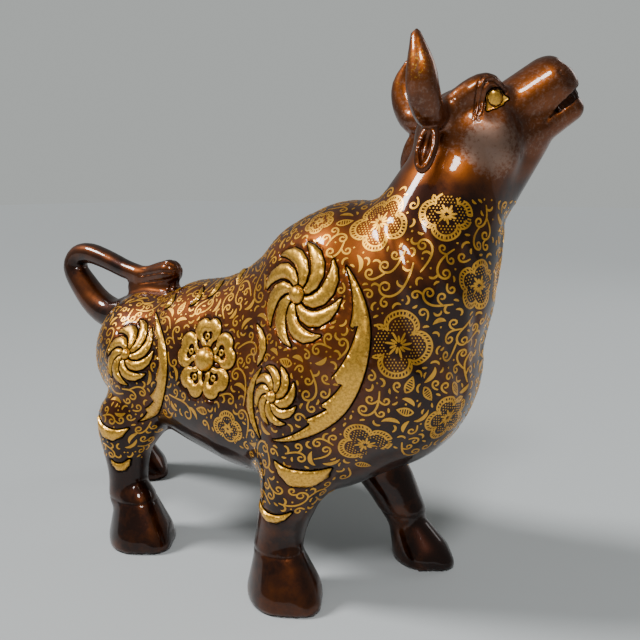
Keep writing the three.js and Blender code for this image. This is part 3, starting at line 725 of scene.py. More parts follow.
def make_object(name: str, points: Array, faces: Array, smooth_shaded: bool = True
                ) -> bpy.types.Object:
    """Makes a mesh object.

    Args:
        name: Name of the piece.
        points: Points in metres, one a row.
        faces: Point numbers, one face a row, all with as many corners.
        smooth_shaded: Whether light runs smoothly over the edges.

    Returns:
        The object, linked to the scene, at the origin.
    """
    mesh = bpy.data.meshes.new(name)
    mesh.vertices.add(len(points))
    mesh.vertices.foreach_set("co", points.astype(np.float32).ravel())
    mesh.loops.add(faces.size)
    mesh.loops.foreach_set("vertex_index", faces.astype(np.int32).ravel())
    mesh.polygons.add(len(faces))
    mesh.polygons.foreach_set("loop_start", np.arange(len(faces), dtype=np.int32)
                              * faces.shape[1])
    mesh.update(calc_edges=True)
    mesh.validate()
    mesh.polygons.foreach_set("use_smooth", np.full(len(mesh.polygons), smooth_shaded))
    obj = bpy.data.objects.new(name, mesh)
    bpy.context.scene.collection.objects.link(obj)
    return obj


def set_attribute(obj: bpy.types.Object, name: str, values: Array) -> None:
    """Keeps one number per point on the mesh for its material to read."""
    layer = obj.data.attributes.new(name, "FLOAT", "POINT")
    layer.data.foreach_set("value", values.astype(np.float32))


# Carving. Flat outlines as distances in the plane of x and z, less than zero inside.


def drop(x: Array, y: Array, a: Vec, b: Vec) -> Array:
    """Uneven capsule between the points a and b, each x, y and radius.

    Args:
        x: First coordinates of the points.
        y: Second coordinates.
        a: One end.
        b: The other end.

    Returns:
        Distances, less than zero inside.
    """
    dx, dy = b[0] - a[0], b[1] - a[1]
    t = np.clip(((x - a[0]) * dx + (y - a[1]) * dy) / (dx * dx + dy * dy), 0, 1)
    return np.hypot(x - a[0] - t * dx, y - a[1] - t * dy) - (a[2] + (b[2] - a[2]) * t)


def stroke(x: Array, y: Array, points: Sequence[Vec]) -> Array:
    """A run of drops through points of x, y and radius."""
    return np.min([drop(x, y, a, b) for a, b in zip(points, points[1:])], axis=0)


@dataclass(frozen=True)
class Figure:
    """A carved figure of the flank, placed by x and z; none of it lies beyond its reach."""

    x: float
    z: float
    radius: float
    reach: float

    def outline(self, x: Array, y: Array) -> Array:
        """Distance to the outline from a point x forward and y up of the middle."""
        raise NotImplementedError

    def dome(self, x: Array, y: Array) -> Array:
        """Height of the round boss in the middle; none on most figures."""
        return np.zeros_like(x)


@dataclass(frozen=True)
class Bossed(Figure):
    """A figure with a round boss in its middle."""

    turn: float = 90.0
    boss: float = 4.0
    dome_height: float = 1.5
    ring: float = 1.2

    def dome(self, x: Array, y: Array) -> Array:
        """Upper half of an ellipse over the boss."""
        b = np.hypot(x, y) / self.boss
        return self.dome_height * np.sqrt(np.maximum(1 - b * b, 0))

    def ringed(self, d: Array, x: Array, y: Array) -> Array:
        """Cuts a ring out of the petals and sets the boss inside it."""
        r = np.hypot(x, y)
        return np.minimum(np.maximum(d, self.boss + self.ring - r), r - self.boss)


@dataclass(frozen=True)
class Whorl(Bossed):
    """Pinwheel of curled petals; turn is the direction of the first tip in degrees."""

    petals: int = 8
    curl: float = 70.0
    fullness: float = 1.14
    steps: tuple[float, ...] = (0.16, 0.3, 0.45, 0.6, 0.72, 0.83, 0.92, 1.0)
    girth: tuple[float, ...] = (0.28, 0.6, 0.86, 1.0, 1.0, 0.86, 0.52, 0.08)

    def outline(self, x: Array, y: Array) -> Array:
        """Petals whose angle grows with the square of the way out, and the boss.

        Args:
            x: Places ahead of the figure's middle.
            y: Places above it.

        Returns:
            Distances, less than zero inside.
        """
        steps = np.array(self.steps)
        girth = np.array(self.girth) * (self.radius * self.fullness / self.petals)
        d = np.full_like(x, FAR)
        for k in range(self.petals):
            a = np.radians(self.turn - self.curl + k * 360 / self.petals
                           + self.curl * steps ** 2)
            ring = np.stack([self.radius * steps * np.cos(a),
                             self.radius * steps * np.sin(a), girth], axis=1)
            d = np.minimum(d, stroke(x, y, ring))
        return self.ringed(d, x, y)


@dataclass(frozen=True)
class Flower(Bossed):
    """Five petals, each cleft at the rim and with a hollow near the boss."""

    petals: int = 5
    drawn_radius: float = 28.0

    def outline(self, x: Array, y: Array) -> Array:
        """Each petal is a drop and two round lobes, less a notch and a hollow.

        Args:
            x: Places ahead of the figure's middle.
            y: Places above it.

        Returns:
            Distances, less than zero inside.
        """
        s = self.radius / self.drawn_radius
        d = np.full_like(x, FAR)
        for k in range(self.petals):
            a = np.radians(self.turn + 360 * k / self.petals)
            u = x * np.cos(a) + y * np.sin(a)
            v = y * np.cos(a) - x * np.sin(a)
            petal = drop(u, v, (8 * s, 0, 3.4 * s), (17.5 * s, 0, 9.8 * s))
            petal = np.minimum(petal, np.hypot(u - 20 * s, np.abs(v) - 4.7 * s) - 7.8 * s)
            petal = np.maximum(petal, 3.2 * s - np.hypot(u - 29.4 * s, v))
            hollow = np.minimum(np.hypot(u - 16.4 * s, np.abs(v) - 2.4 * s) - 2.8 * s,
                                drop(u, v, (11 * s, 0, 0.8 * s), (15 * s, 0, 3.4 * s)))
            island = np.abs(np.hypot(u - 15.6 * s, v) - 1.6 * s) - 0.6 * s
            d = np.minimum(d, np.minimum(np.maximum(petal, -hollow), island))
        return self.ringed(d, x, y)


@dataclass(frozen=True)
class Crescent(Figure):
    """Crescent on a circle with a stepped inner edge: rows of angle, width before, after."""

    teeth: tuple[tuple[float, float, float], ...] = ()
    back: float = -10.0  # nothing is carved further back than this

    def outline(self, x: Array, y: Array) -> Array:
        """Between the outer circle and an inner edge that steps from tooth to tooth.

        Args:
            x: Places ahead of the figure's middle.
            y: Places above it.

        Returns:
            Distances, less than zero inside.
        """
        r, a = np.hypot(x, y), np.degrees(np.arctan2(y, x))
        width = np.full_like(x, -1.0)
        for (a0, _, w0), (a1, w1, _) in zip(self.teeth, self.teeth[1:]):
            here = (a <= a0) & (a > a1)
            width = np.where(here, w0 + (w1 - w0) * (a0 - a) / (a0 - a1), width)
        over = np.radians(np.maximum(a - self.teeth[0][0], self.teeth[-1][0] - a)) * self.radius
        d = np.maximum(r - self.radius, self.radius - width - r)
        d = np.where(over > 0, np.hypot(over, np.abs(r - self.radius)), d)
        return np.where(x < self.back, FAR, d)


@dataclass(frozen=True)
class Bow:
    """Lens or bowl through three points, with its half width at the middle one."""

    points: tuple[tuple[float, float], ...]
    width: float
    sides: tuple[Side, ...] = tuple(Side)
    tip: float = 0.3

    def outline(self, x: Array, y: Array) -> Array:
        """Drops along the parabola through the points, widest in the middle.

        Args:
            x: Places forward.
            y: Heights.

        Returns:
            Distances, less than zero inside.
        """
        a, b, c = (np.array(p, float) for p in self.points)
        t = np.linspace(0, 1, 6)[:, None]
        mid = (1 - t) ** 2 * a + 2 * t * (1 - t) * (2 * b - (a + c) / 2) + t * t * c
        girth = self.tip + self.width * np.sin(np.pi * t)
        return stroke(x, y, np.hstack([mid, girth]))


RIGHT_ONLY, LEFT_ONLY = (Side.RIGHT,), (Side.LEFT,)  # legs stand differently on each side


@dataclass
class Carving:
    """Raised and cut work of both flanks and the soft folds of the neck."""

    raise_height: float = 1.6
    raise_edge: float = 1.2
    groove_depth: float = 0.8
    groove_width: float = 1.9
    pleat_depth: float = 1.2
    pleat_pitch: float = 17.0
    pleat_first: float = 13.0
    pleat_lean: float = 0.3
    neck_axis_x: float = 125.0
    top: float = 275.0  # no carving above this height
    facing: float = 0.3  # least sideways part of the normal under a figure
    figures: tuple[Figure, ...] = (
        Whorl(106, 225, 33, 37, turn=90, boss=5.6, dome_height=3),
        Whorl(97, 158.5, 20, 24, turn=80, boss=3.6, dome_height=1.8, ring=0.9),
        Whorl(-60, 163, 24, 28, turn=100, boss=3.8, dome_height=1.8, ring=1.0),
        Flower(22, 169.5, 29, 34, turn=96, boss=8.4, dome_height=5),
        Crescent(95, 195, 66.5, 74, teeth=((49, 0, 0), (14, 11.5, 6.5), (-23, 18, 10),
                                           (-44, 13, 8.7), (-59, 10.6, 6.8), (-88, 0, 0))),
        Crescent(-61, 151, 44, 50, teeth=((77, 0, 0), (43, 8, 5.5), (19, 11, 8),
                                          (-10, 13, 9), (-38, 13, 8), (-60, 8, 5.5),
                                          (-74, 0, 0))))
    bows: tuple[Bow, ...] = (
        Bow(((68, 200), (78, 188), (75, 174)), 3.2),
        Bow(((80, 173), (70.5, 150), (83, 126)), 3.0),
        Bow(((98, 113), (114, 101.5), (131, 109)), 6.6, RIGHT_ONLY),
        Bow(((86, 113), (102, 101.5), (119, 109)), 6.6, LEFT_ONLY),
        Bow(((76, 75), (90, 67), (105, 74)), 3.0, RIGHT_ONLY),
        Bow(((99, 70), (112, 62), (126, 70)), 3.0, LEFT_ONLY),
        Bow(((-90, 109), (-73, 97), (-56, 103)), 4.8, RIGHT_ONLY),
        Bow(((-140, 114), (-124, 101), (-107, 107)), 4.8, LEFT_ONLY),
        Bow(((-75, 73), (-68, 67), (-61, 74)), 3, RIGHT_ONLY),
        Bow(((-177, 76), (-170, 70), (-163, 77)), 3, LEFT_ONLY),
        Bow(((-39, 199), (-34.5, 203.5), (-39, 208.5)), 1.7),
        Bow(((-10, 204.5), (-6.5, 210), (-12.5, 215.5)), 1.7),
        Bow(((4.5, 211.5), (8, 217.5), (1, 222.5)), 1.9),
        Bow(((31, 224), (27, 229.5), (24, 236)), 2.2))

    def outline(self, p: Array, n: Array) -> tuple[Array, Array]:
        """Distance to the nearest carved outline, and the height of a boss, at skin points.

        Args:
            p: Points of the skin.
            n: Normals there.

        Returns:
            Distances, and heights of the bosses.
        """
        d, dome = np.full(len(p), FAR), np.zeros(len(p))
        side = np.sign(p[:, 1])
        open_skin = (side * n[:, 1] >= self.facing) & (p[:, 2] <= self.top)
        for figure in self.figures:
            x, y = p[:, 0] - figure.x, p[:, 2] - figure.z
            near = np.flatnonzero(open_skin & (np.hypot(x, y) <= figure.reach))
            d[near] = np.minimum(d[near], figure.outline(x[near], y[near]))
            dome[near] += figure.dome(x[near], y[near])
        for bow in self.bows:
            near = np.flatnonzero(open_skin & np.isin(side, bow.sides))
            d[near] = np.minimum(d[near], bow.outline(p[near, 0], p[near, 2]))
        return d, dome

    def relief(self, p: Array, n: Array) -> Array:
        """Height of the finished skin above the plain form.

        Args:
            p: Points of the skin.
            n: Normals there.

        Returns:
            Heights.
        """
        d, dome = self.outline(p, n)
        raised = self.raise_height * smooth(-d / self.raise_edge)
        groove = np.where((d > 0) & (d < self.groove_width), self.groove_depth
                          * np.sin(np.pi * np.clip(d / self.groove_width, 0, 1)) ** 2, 0)
        return dome + raised - groove + self.pleats(p)

    def pleats(self, p: Array) -> Array:
        """Cosine folds round the neck and dewlap, faded out at their ends.

        Args:
            p: Points of the skin.

        Returns:
            Heights.
        """
        z = p[:, 2]
        around = np.abs(np.degrees(np.arctan2(p[:, 1], p[:, 0] - self.neck_axis_x)))
        fade = (smooth((z - 145) / 30) * smooth((285 - z) / 25)
                * smooth((60 - around) / 16) * smooth((around - 4) / 6))
        turns = (around - self.pleat_lean * (z - 200) - self.pleat_first) / self.pleat_pitch
        return fade * self.pleat_depth * np.cos(2 * np.pi * turns)


@dataclass
class FineWork:
    """Small cut work: eyes and their lids, nose, tuft of the tail and tops of the hooves."""

    form: OxForm
    eye_radius: float = 4.5
    eye_height: float = 3.2
    socket_depth: float = 0.8
    lid_width: float = 1.4
    lid_height: float = 1.3
    cut: float = 0.7
    coronet: float = 37.0
    swell: float = 0.35
    tuft_cut: float = 1.4
    tuft_locks: float = 4.5
    dark: float = 0.95  # carved distance at which the finish is dark, as in a cut
    lip_gap: float = 1.9
    eye_reach: float = 18.0
    lid_taper: tuple[float, ...] = (0.1, 0.9, 1.3, 1.4, 1.4, 1.3, 0.9, 0.2)
    eye: tuple[float, float] = (40.3, 348.2)
    socket: tuple[tuple[float, float, float], ...] = (
        (34.8, 340.8, 0.8), (40.3, 347.6, 5.8), (48.2, 347.8, 0.6))
    lids: tuple[tuple[tuple[float, float], ...], ...] = (
        ((26.2, 334.0), (28.2, 340), (28.6, 347), (29.2, 354), (32, 358.6), (36.4, 359.6),
         (41, 357.2), (47.5, 352.6)),
        ((28.8, 334.6), (31.0, 340.5), (31.8, 347), (32.4, 352.6), (34.6, 355.6), (37.6, 356),
         (41, 354.2), (46.5, 351.0)))
    mouth: tuple[tuple[float, float, float], ...] = (
        (76.2, 337.0, 0.6), (80, 340.6, 1.3), (86, 345.6, 1.5), (98, 356, 1.2))
    nose_lines: tuple[tuple[tuple[float, float], ...], ...] = (
        ((80, 364), (84.5, 361), (89, 360)), ((76.4, 338.2), (74, 334.6)))

    def sides(self, p: Array) -> tuple[Array, Array, Array]:
        """Places of points in the head's own frame: along the muzzle, to the left, up.

        Args:
            p: Points, one a row.

        Returns:
            Places along the muzzle, to the left and up.
        """
        u, v, w = axes(self.form.head_yaw)
        q = p - np.array([self.form.head_axis_x, 0.0, 0.0])
        return q @ u, q @ v, q @ w

    def eye_lines(self, s: Array, z: Array) -> tuple[Array, Array]:
        """Distances to the edge of the eye's gold field and to the edge of the nearest lid.

        Args:
            s: Places along the muzzle.
            z: Heights.

        Returns:
            Distances to the gold field and to the nearest lid.
        """
        lids = [stroke(s, z, [(a, b, w) for (a, b), w in zip(lid, self.lid_taper)])
                for lid in self.lids]
        return stroke(s, z, self.socket), np.min(lids, axis=0)

    def near_eye(self, p: Array) -> Array:
        """Points on the side of the head within reach of an eye."""
        s, l, z = self.sides(p)
        return np.flatnonzero((np.hypot(s - 37, z - 347) < self.eye_reach) & (np.abs(l) > 9))

    def outline(self, p: Array, n: Array) -> Array:
        """Distance to the gold of the eye; about a millimetre in dark cuts and the mouth.

        Args:
            p: Points of the skin.
            n: Normals there.

        Returns:
            Carved distances for the finish.
        """
        d = np.full(len(p), FAR)
        near = self.near_eye(p)
        s, _, z = self.sides(p[near])
        gold, lid = self.eye_lines(s, z)
        rim = np.abs(np.hypot(s - self.eye[0], z - self.eye[1]) - self.eye_radius - 0.35)
        d[near] = np.minimum(gold, self.dark + 1.5 * np.abs(lid - 0.3))
        d[near] = np.where(rim < 0.4, self.dark + rim, d[near])
        s, _, z = self.sides(p)
        lips = np.flatnonzero((s > 72) & (z > 332))
        gap = stroke(s[lips], z[lips], self.mouth)
        inside = np.abs(n[lips] @ axes(self.form.head_yaw)[1]) < 0.6
        d[lips] = np.minimum(d[lips], self.dark + np.maximum(gap - self.lip_gap * inside, 0))
        return d

    def relief(self, p: Array) -> Array:
        """Height of the cut work above the plain form.

        Args:
            p: Points of the skin.

        Returns:
            Heights.
        """
        h = np.zeros(len(p))
        near = self.near_eye(p)
        s, _, z = self.sides(p[near])
        gold, lid = self.eye_lines(s, z)
        out = np.hypot(s - self.eye[0], z - self.eye[1]) / self.eye_radius
        crown = 1 - np.clip(-lid / self.lid_width, 0, 1)
        h[near] = (self.eye_height * np.sqrt(np.maximum(1 - out * out, 0))
                   - self.socket_depth * smooth(-gold / 0.8)
                   + self.lid_height * np.sqrt(1 - crown * crown)
                   - self.cut * np.exp(-((lid - 0.4) / 0.5) ** 2))
        s, l, z = self.sides(p)
        near = np.flatnonzero((s > 66) & (np.abs(l) > 3) & (z > 325))
        for line in self.nose_lines:
            d = stroke(s[near], z[near], [(a, b, 0.0) for a, b in line])
            h[near] -= self.cut * np.exp(-(d / 0.8) ** 2)
        return h + self.tuft(p) + self.hooves(p)

    def tuft(self, p: Array) -> Array:
        """Grooves between the locks: a sharp wave of the angle round the tuft's middle.

        Args:
            p: Points of the skin.

        Returns:
            Heights.
        """
        x, y, z = p.T
        middle = 216 + 0.157 * (x + 106)
        wave = np.abs(np.sin(self.tuft_locks * np.arctan2(z - middle + 3, y)))
        here = smooth((x + 104) / 8) * smooth((-58 - x) / 2) * smooth((z - 204) / 5)
        return -self.tuft_cut * (1 - smooth(wave / 0.55)) * here * (np.abs(y) < 16)

    def hooves(self, p: Array) -> Array:
        """A cut at the top of each hoof, with the skin of the leg swelling over it.

        Args:
            p: Points of the skin.

        Returns:
            Heights.
        """
        z = p[:, 2] - self.coronet
        swell = self.swell * smooth(z / 1.5) * smooth((14 - z) / 11)
        return np.where(z < 20, swell - 0.5 * self.cut * np.exp(-z ** 2), 0)

    def fine(self, p: Array) -> Array:
        """Points that need short edges: mouth, ears, tuft and the hooves' tops.

        Args:
            p: Points of the skin.

        Returns:
            One mark a point.
        """
        s, l, z = self.sides(p)
        mouth = (s > 73) & (z > 334)
        ear = (np.abs(np.abs(l) - 35) < 8) & (np.abs(s + 3) < 11) & (z < 340) & (z > 298)
        tuft = (np.abs(p[:, 0] + 85) < 24) & (p[:, 2] > 203) & (np.abs(p[:, 1]) < 16)
        return mouth | ear | tuft | (np.abs(p[:, 2] - self.coronet) < 2.5)


# Gilt scrollwork: thin painted lines that lie on the skin.


LEAF_SIDE = 8  # points along one side of a leaf, its tip with them


def curl_line(length: float, turn: float, power: float, bend: float = 0.0,
              pitch: float = 1.1) -> Array:
    """A line that tightens into a spiral; its direction is bend s plus turn s to the power.

    Args:
        length: Length of the line, millimetres.
        turn: How far the spiral turns, radians.
        power: How late the turning sets in.
        bend: Even bend along the whole line, radians.
        pitch: Distance from point to point.

    Returns:
        Points of the line from the origin, heading along x at first.
    """
    count = max(int(length / pitch), 3)
    s = (np.arange(count) + 0.5) / count
    angle = bend * s + turn * s ** power
    step = np.stack([np.cos(angle), np.sin(angle)], axis=1) * length / count
    return np.vstack([np.zeros(2), np.cumsum(step, axis=0)])


def lobed(radius: float, lobes: int, depth: float, turn: float, count: int) -> Array:
    """Closed scalloped outline: the radius follows the root of a half sine on each lobe.

    Args:
        radius: Radius at the tips of the lobes.
        lobes: Number of lobes.
        depth: Depth between them, as a share of the radius.
        turn: Direction of a notch, radians.
        count: Steps round.

    Returns:
        Points of the outline; the last is the first again.
    """
    a = np.linspace(0, 2 * np.pi, count + 1)
    wave = np.abs(np.sin(lobes * (a - turn) / 2)) ** 0.5
    r = radius * (1 - depth + depth * wave)
    return np.stack([r * np.cos(a), r * np.sin(a)], axis=1)


@dataclass(frozen=True)
class Motif:
    """Flat painted figure: rows of lines with equal point counts, and the line's width."""

    lines: Array
    width: float
    taper: float = 0.0
    power: float = 4.0

    def profile(self) -> Array:
        """Width along a line; it narrows towards the ends by the taper, late or early."""
        s = np.abs(np.linspace(-1, 1, self.lines.shape[1]))
        return self.width * (1 - self.taper * s ** self.power)


@dataclass(frozen=True)
class Blossom:
    """Painted flower: ladder border on a scalloped edge, dots inside and a star of strokes."""

    x: float
    y: float
    z: float
    radius: float
    turn: float = 0.3
    lobes: int = 5
    depth: float = 0.3
    border: float = 3.0
    inner_depth: float = 1.2  # how much deeper the inner edge is cut
    seed_pitch: float = 2.1
    seed_row: float = 1.82
    seed_length: float = 0.75
    rays: int = 13

    def edges(self) -> list[Motif]:
        """Two scalloped lines and the rungs from one to the other, a ladder round the flower.

        Returns:
            The pair of lines and the rungs.
        """
        count = int(self.radius * 5.5)
        outer = lobed(self.radius, self.lobes, self.depth, self.turn, count)
        inner = lobed(self.radius - self.border, self.lobes, self.depth * self.inner_depth,
                      self.turn, count)
        a = np.arange(int(self.radius * 2.9)) / int(self.radius * 2.9)
        pick = (a * count).astype(int)
        rungs = np.stack([inner[pick] * 1.02, outer[pick] * 0.98], axis=1)
        return [Motif(np.stack([outer, inner]), 1.2), Motif(rungs, 0.9)]

    def seeds(self) -> Motif:
        """Short dashes in a triangular grid between the star and the inner edge.

        Returns:
            The dashes.
        """
        u, v = np.meshgrid(np.arange(-12, 13), np.arange(-12, 13))
        grid = np.stack([(u + v / 2).ravel() * self.seed_pitch, v.ravel() * self.seed_row],
                        axis=1)
        around = np.arctan2(grid[:, 1], grid[:, 0])
        wave = np.abs(np.sin(self.lobes * (around - self.turn) / 2)) ** 0.5
        out = np.hypot(*grid.T)
        edge = (self.radius - self.border) * (1 - self.depth * self.inner_depth * (1 - wave))
        keep = (out < edge - 1.2) & (out > self.radius * (0.3 + 0.14 * wave))
        return Motif(np.stack([grid[keep], grid[keep] + [self.seed_length, 0.0]], axis=1), 0.85)

    def star(self) -> Motif:
        """Rays, long and short in turn, each bent sideways by the square of the way out.

        Returns:
            The rays.
        """
        k = np.arange(self.rays) * 2 * np.pi / self.rays
        reach = self.radius * np.where(np.arange(self.rays) % 2, 0.27, 0.4)
        ray = np.stack([np.cos(k), np.sin(k)], axis=1)
        side = np.stack([-np.sin(k), np.cos(k)], axis=1)
        s = np.linspace(0.25, 1, 5)[:, None, None]
        star = np.swapaxes(s * reach[:, None] * ray + (s - 0.25) ** 2 * side, 0, 1)
        return Motif(star, 1.4, 0.5)


@dataclass
class Strip:
    """Lines laid on the form: points, normals and width, lines by points."""

    points: Array
    normals: Array
    width: Array


@dataclass
class Scrollwork:
    """Gilt tendrils, leaves, flowers and dots over one flank, neck and upper legs."""

    form: OxForm
    carving: Carving
    side: Side
    seed: int
    spacing: float = 2.3  # clear space kept round a line's middle
    proud: float = 0.16  # the paint is thinner, but its edge has to show
    sunk: float = 0.35  # how far the underside of a line is below the skin
    grid: float = 0.9
    margin: int = 3  # cells round the grid that only a claim can reach
    clear: float = 1.9  # least distance from the carving
    top: float = 294.0
    foot: float = 73.0
    belly: float = 116.0
    run: int = 6  # points in a piece of a flower's edge
    long_line: int = 20  # points from which a line is laid in pieces
    edge_steps: int = 40
    low: tuple[float, float, float] = (-150.0, -92.0, 66.0)
    high: tuple[float, float, float] = (234.0, 92.0, 300.0)
    blossoms: tuple[Blossom, ...] = (
        Blossom(153, 36, 272, 20, 0.3, 5, 0.34), Blossom(195, 29, 278, 16, 0.8, 4),
        Blossom(177, 54, 199, 21, 0.6, 4, 0.4), Blossom(213, 16, 234, 16, 0.6),
        Blossom(198, 23, 147, 17, 0.5, 5, 0.36), Blossom(155, 55, 130, 18, 0.9, 4, 0.36),
        Blossom(50, 69, 124, 13, 0.7, 4), Blossom(107, 38, 273, 11, 0.4))
    taken: Array = field(init=False)
    round: Array = field(init=False)
    strips: list[Strip] = field(default_factory=list)

    def __post_init__(self) -> None:
        """Clears the grid of places that lines already take up."""
        size = np.ceil((np.array(self.high) - self.low) / self.grid).astype(int)
        size += 2 * self.margin + 2
        self.taken = np.zeros(size, bool)
        reach = int(np.ceil(self.spacing / self.grid))
        span = np.arange(-reach, reach + 1)
        cube = np.stack(np.meshgrid(span, span, span, indexing="ij"), -1).reshape(-1, 3)
        self.round = cube[np.linalg.norm(cube, axis=1) * self.grid <= self.spacing]

    def cells(self, p: Array) -> Array:
        """Grid cells of points, kept inside the grid."""
        c = ((p - self.low) / self.grid).astype(int) + self.margin
        return np.clip(c, self.margin, np.array(self.taken.shape) - self.margin - 1)

    def claim(self, p: Array) -> None:
        """Takes up the places within the spacing of the points."""
        c = (self.cells(p)[:, None] + self.round).reshape(-1, 3)
        self.taken[tuple(c.T)] = True

    def is_open(self, p: Array, n: Array) -> Array:
        """True for points on the painted part of the ox and clear of the carving.

        Args:
            p: Points of the skin.
            n: Normals there.

        Returns:
            One mark a point.
        """
        x, y, z = p.T
        out = self.side * n[:, 1]
        d, _ = self.carving.outline(p, n)
        ok = (self.side * y > 2) & (z < self.top - 0.15 * np.clip(x - 165, 0, 80))
        ok &= (z > self.foot) & (n[:, 2] > -0.55) & (d > self.clear) & ((out > 0.1) | (z > 112))
        ok &= ~((x < -100) & (z > 172) & (np.abs(y) < 24))  # root of the tail
        ok &= ~((x < -50) & (z > 198) & (np.abs(y) < 16))  # its tuft
        leg = (x > 66) | (x < (-40 if self.side is Side.RIGHT else -62))
        return ok & (leg | (z > self.belly + 6 * np.cos((x - 10) / 20)))

    def lay(self, flat: Array, at: Array, n: Array, heading: Array) -> Array:
        """Puts flat lines on the form.

        Args:
            flat: Lines in the plane, lines by points by two.
            at: Where each line's origin goes.
            n: Normal there.
            heading: Direction of the flat x axis there.

        Returns:
            Points on the form, lines by points by three.
        """
        t = unit(heading - np.einsum("ij,ij->i", heading, n)[:, None] * n)
        b = np.cross(n, t)
        p = at[:, None] + flat[..., :1] * t[:, None] + flat[..., 1:] * b[:, None]
        shape = p.shape
        p, down = p.reshape(-1, 3), np.repeat(n, shape[1], axis=0)
        for _ in range(4):
            p = p - np.clip(self.form.distance(p), -4, 4)[:, None] * down
        return p.reshape(shape)

    def add(self, p: Array, motif: Motif) -> Strip:
        """Keeps laid lines for the mesh and takes up their places.

        Args:
            p: Lines on the form, lines by points by three.
            motif: What they were laid from.

        Returns:
            The kept lines.
        """
        n = unit(self.form.slope(p.reshape(-1, 3))).reshape(p.shape)
        strip = Strip(p, n, motif.profile())
        self.strips.append(strip)
        self.claim(p.reshape(-1, 3))
        return strip

    def lay_round(self, flat: Array, at: Array, n: Array) -> Array:
        """Lays flat lines round one place, their x axis towards the head.

        Args:
            flat: Lines in the plane.
            at: The place, as one row.
            n: Normal there, as one row.

        Returns:
            Points on the form, lines by points by three.
        """
        count = len(flat)
        return self.lay(flat, at.repeat(count, 0), n.repeat(count, 0),
                        np.tile([[1.0, 0.0, 0.1]], (count, 1)))

    def flower(self, blossom: Blossom) -> None:
        """Paints one flower; only its lines on the open part of the ox are kept.

        Args:
            blossom: The flower.
        """
        at = self.form.settle(np.array([[blossom.x, self.side * blossom.y, blossom.z]], float),
                              12, 6)
        if self.taken[tuple(self.cells(at).T)][0]:
            return
        n = unit(self.form.slope(at))
        for motif in [*blossom.edges(), blossom.seeds(), blossom.star()]:
            p = self.lay_round(motif.lines, at, n)
            q = p.reshape(-1, 3)
            near = np.abs(self.form.distance(q)) < 0.3
            ok = (self.is_open(q, unit(self.form.slope(q))) & near).reshape(p.shape[:2])
            if motif.lines.shape[1] > self.long_line:
                p = np.array([line[i:i + self.run] for line, good in zip(p, ok)
                              for i in range(0, len(line) - self.run + 1, self.run - 1)
                              if good[i:i + self.run].all()])
                motif = Motif(p[..., :2], motif.width)
            else:
                p = p[ok.all(axis=1)]
            if len(p):
                self.add(p, motif)
        edge = lobed(1.0, blossom.lobes, blossom.depth, blossom.turn, self.edge_steps)
        inside = edge[None] * np.arange(1, blossom.radius, 1.5)[:, None, None]
        self.claim(self.lay_round(inside, at, n).reshape(-1, 3))

    def fill(self, rng: np.random.Generator, motif: Motif, at: Array, n: Array,
             heading: Array, skip: int = 0) -> Optional[Strip]:
        """Lays candidates and keeps those that touch nothing, one after the other.

        Args:
            rng: Source of the random order and turns.
            motif: Lines to choose from; every candidate takes one at random.
            at: Where each candidate starts.
            n: Normal at the start.
            heading: Direction at the start.
            skip: Points at the start that may touch, where a branch leaves its stem.

        Returns:
            The lines that were kept, or nothing.
        """
        lines = motif.lines[rng.integers(0, len(motif.lines), len(at))]
        p = self.lay(lines, at, n, heading)
        q = p.reshape(-1, 3)
        down = np.repeat(n, p.shape[1], axis=0)
        good = (self.is_open(q, down) & (np.abs(self.form.distance(q)) < 0.25)
                & ~self.taken[tuple(self.cells(q).T)]).reshape(p.shape[:2])
        kept = []
        for i in np.flatnonzero(good[:, skip:].all(axis=1)):
            if self.taken[tuple(self.cells(p[i, skip:]).T)].any():
                continue
            self.claim(p[i])
            kept.append(i)
        return self.add(p[kept], motif) if kept else None

    def branch(self, rng: np.random.Generator, stem: Strip, motif: Motif,
               places: Sequence[float]) -> Optional[Strip]:
        """Lets branches leave the lines of a stem at places along it, on both sides.

        Args:
            rng: Source of the random turns.
            stem: Lines that the branches leave.
            motif: Lines to choose branches from.
            places: Where they leave, as shares of the stem.

        Returns:
            The branches that were kept, or nothing.
        """
        count = stem.points.shape[1]
        at, n, heading = [], [], []
        for place in places:
            i = min(int(place * count), count - 2)
            ahead = unit(stem.points[:, i + 1] - stem.points[:, i - 1])
            across = np.cross(stem.normals[:, i], ahead)
            for sign in (-1, 1):
                at.append(stem.points[:, i])
                n.append(stem.normals[:, i])
                heading.append(ahead * 0.8 + sign * 0.6 * across)
        return self.fill(rng, motif, np.concatenate(at), np.concatenate(n),
                         np.concatenate(heading), 4)

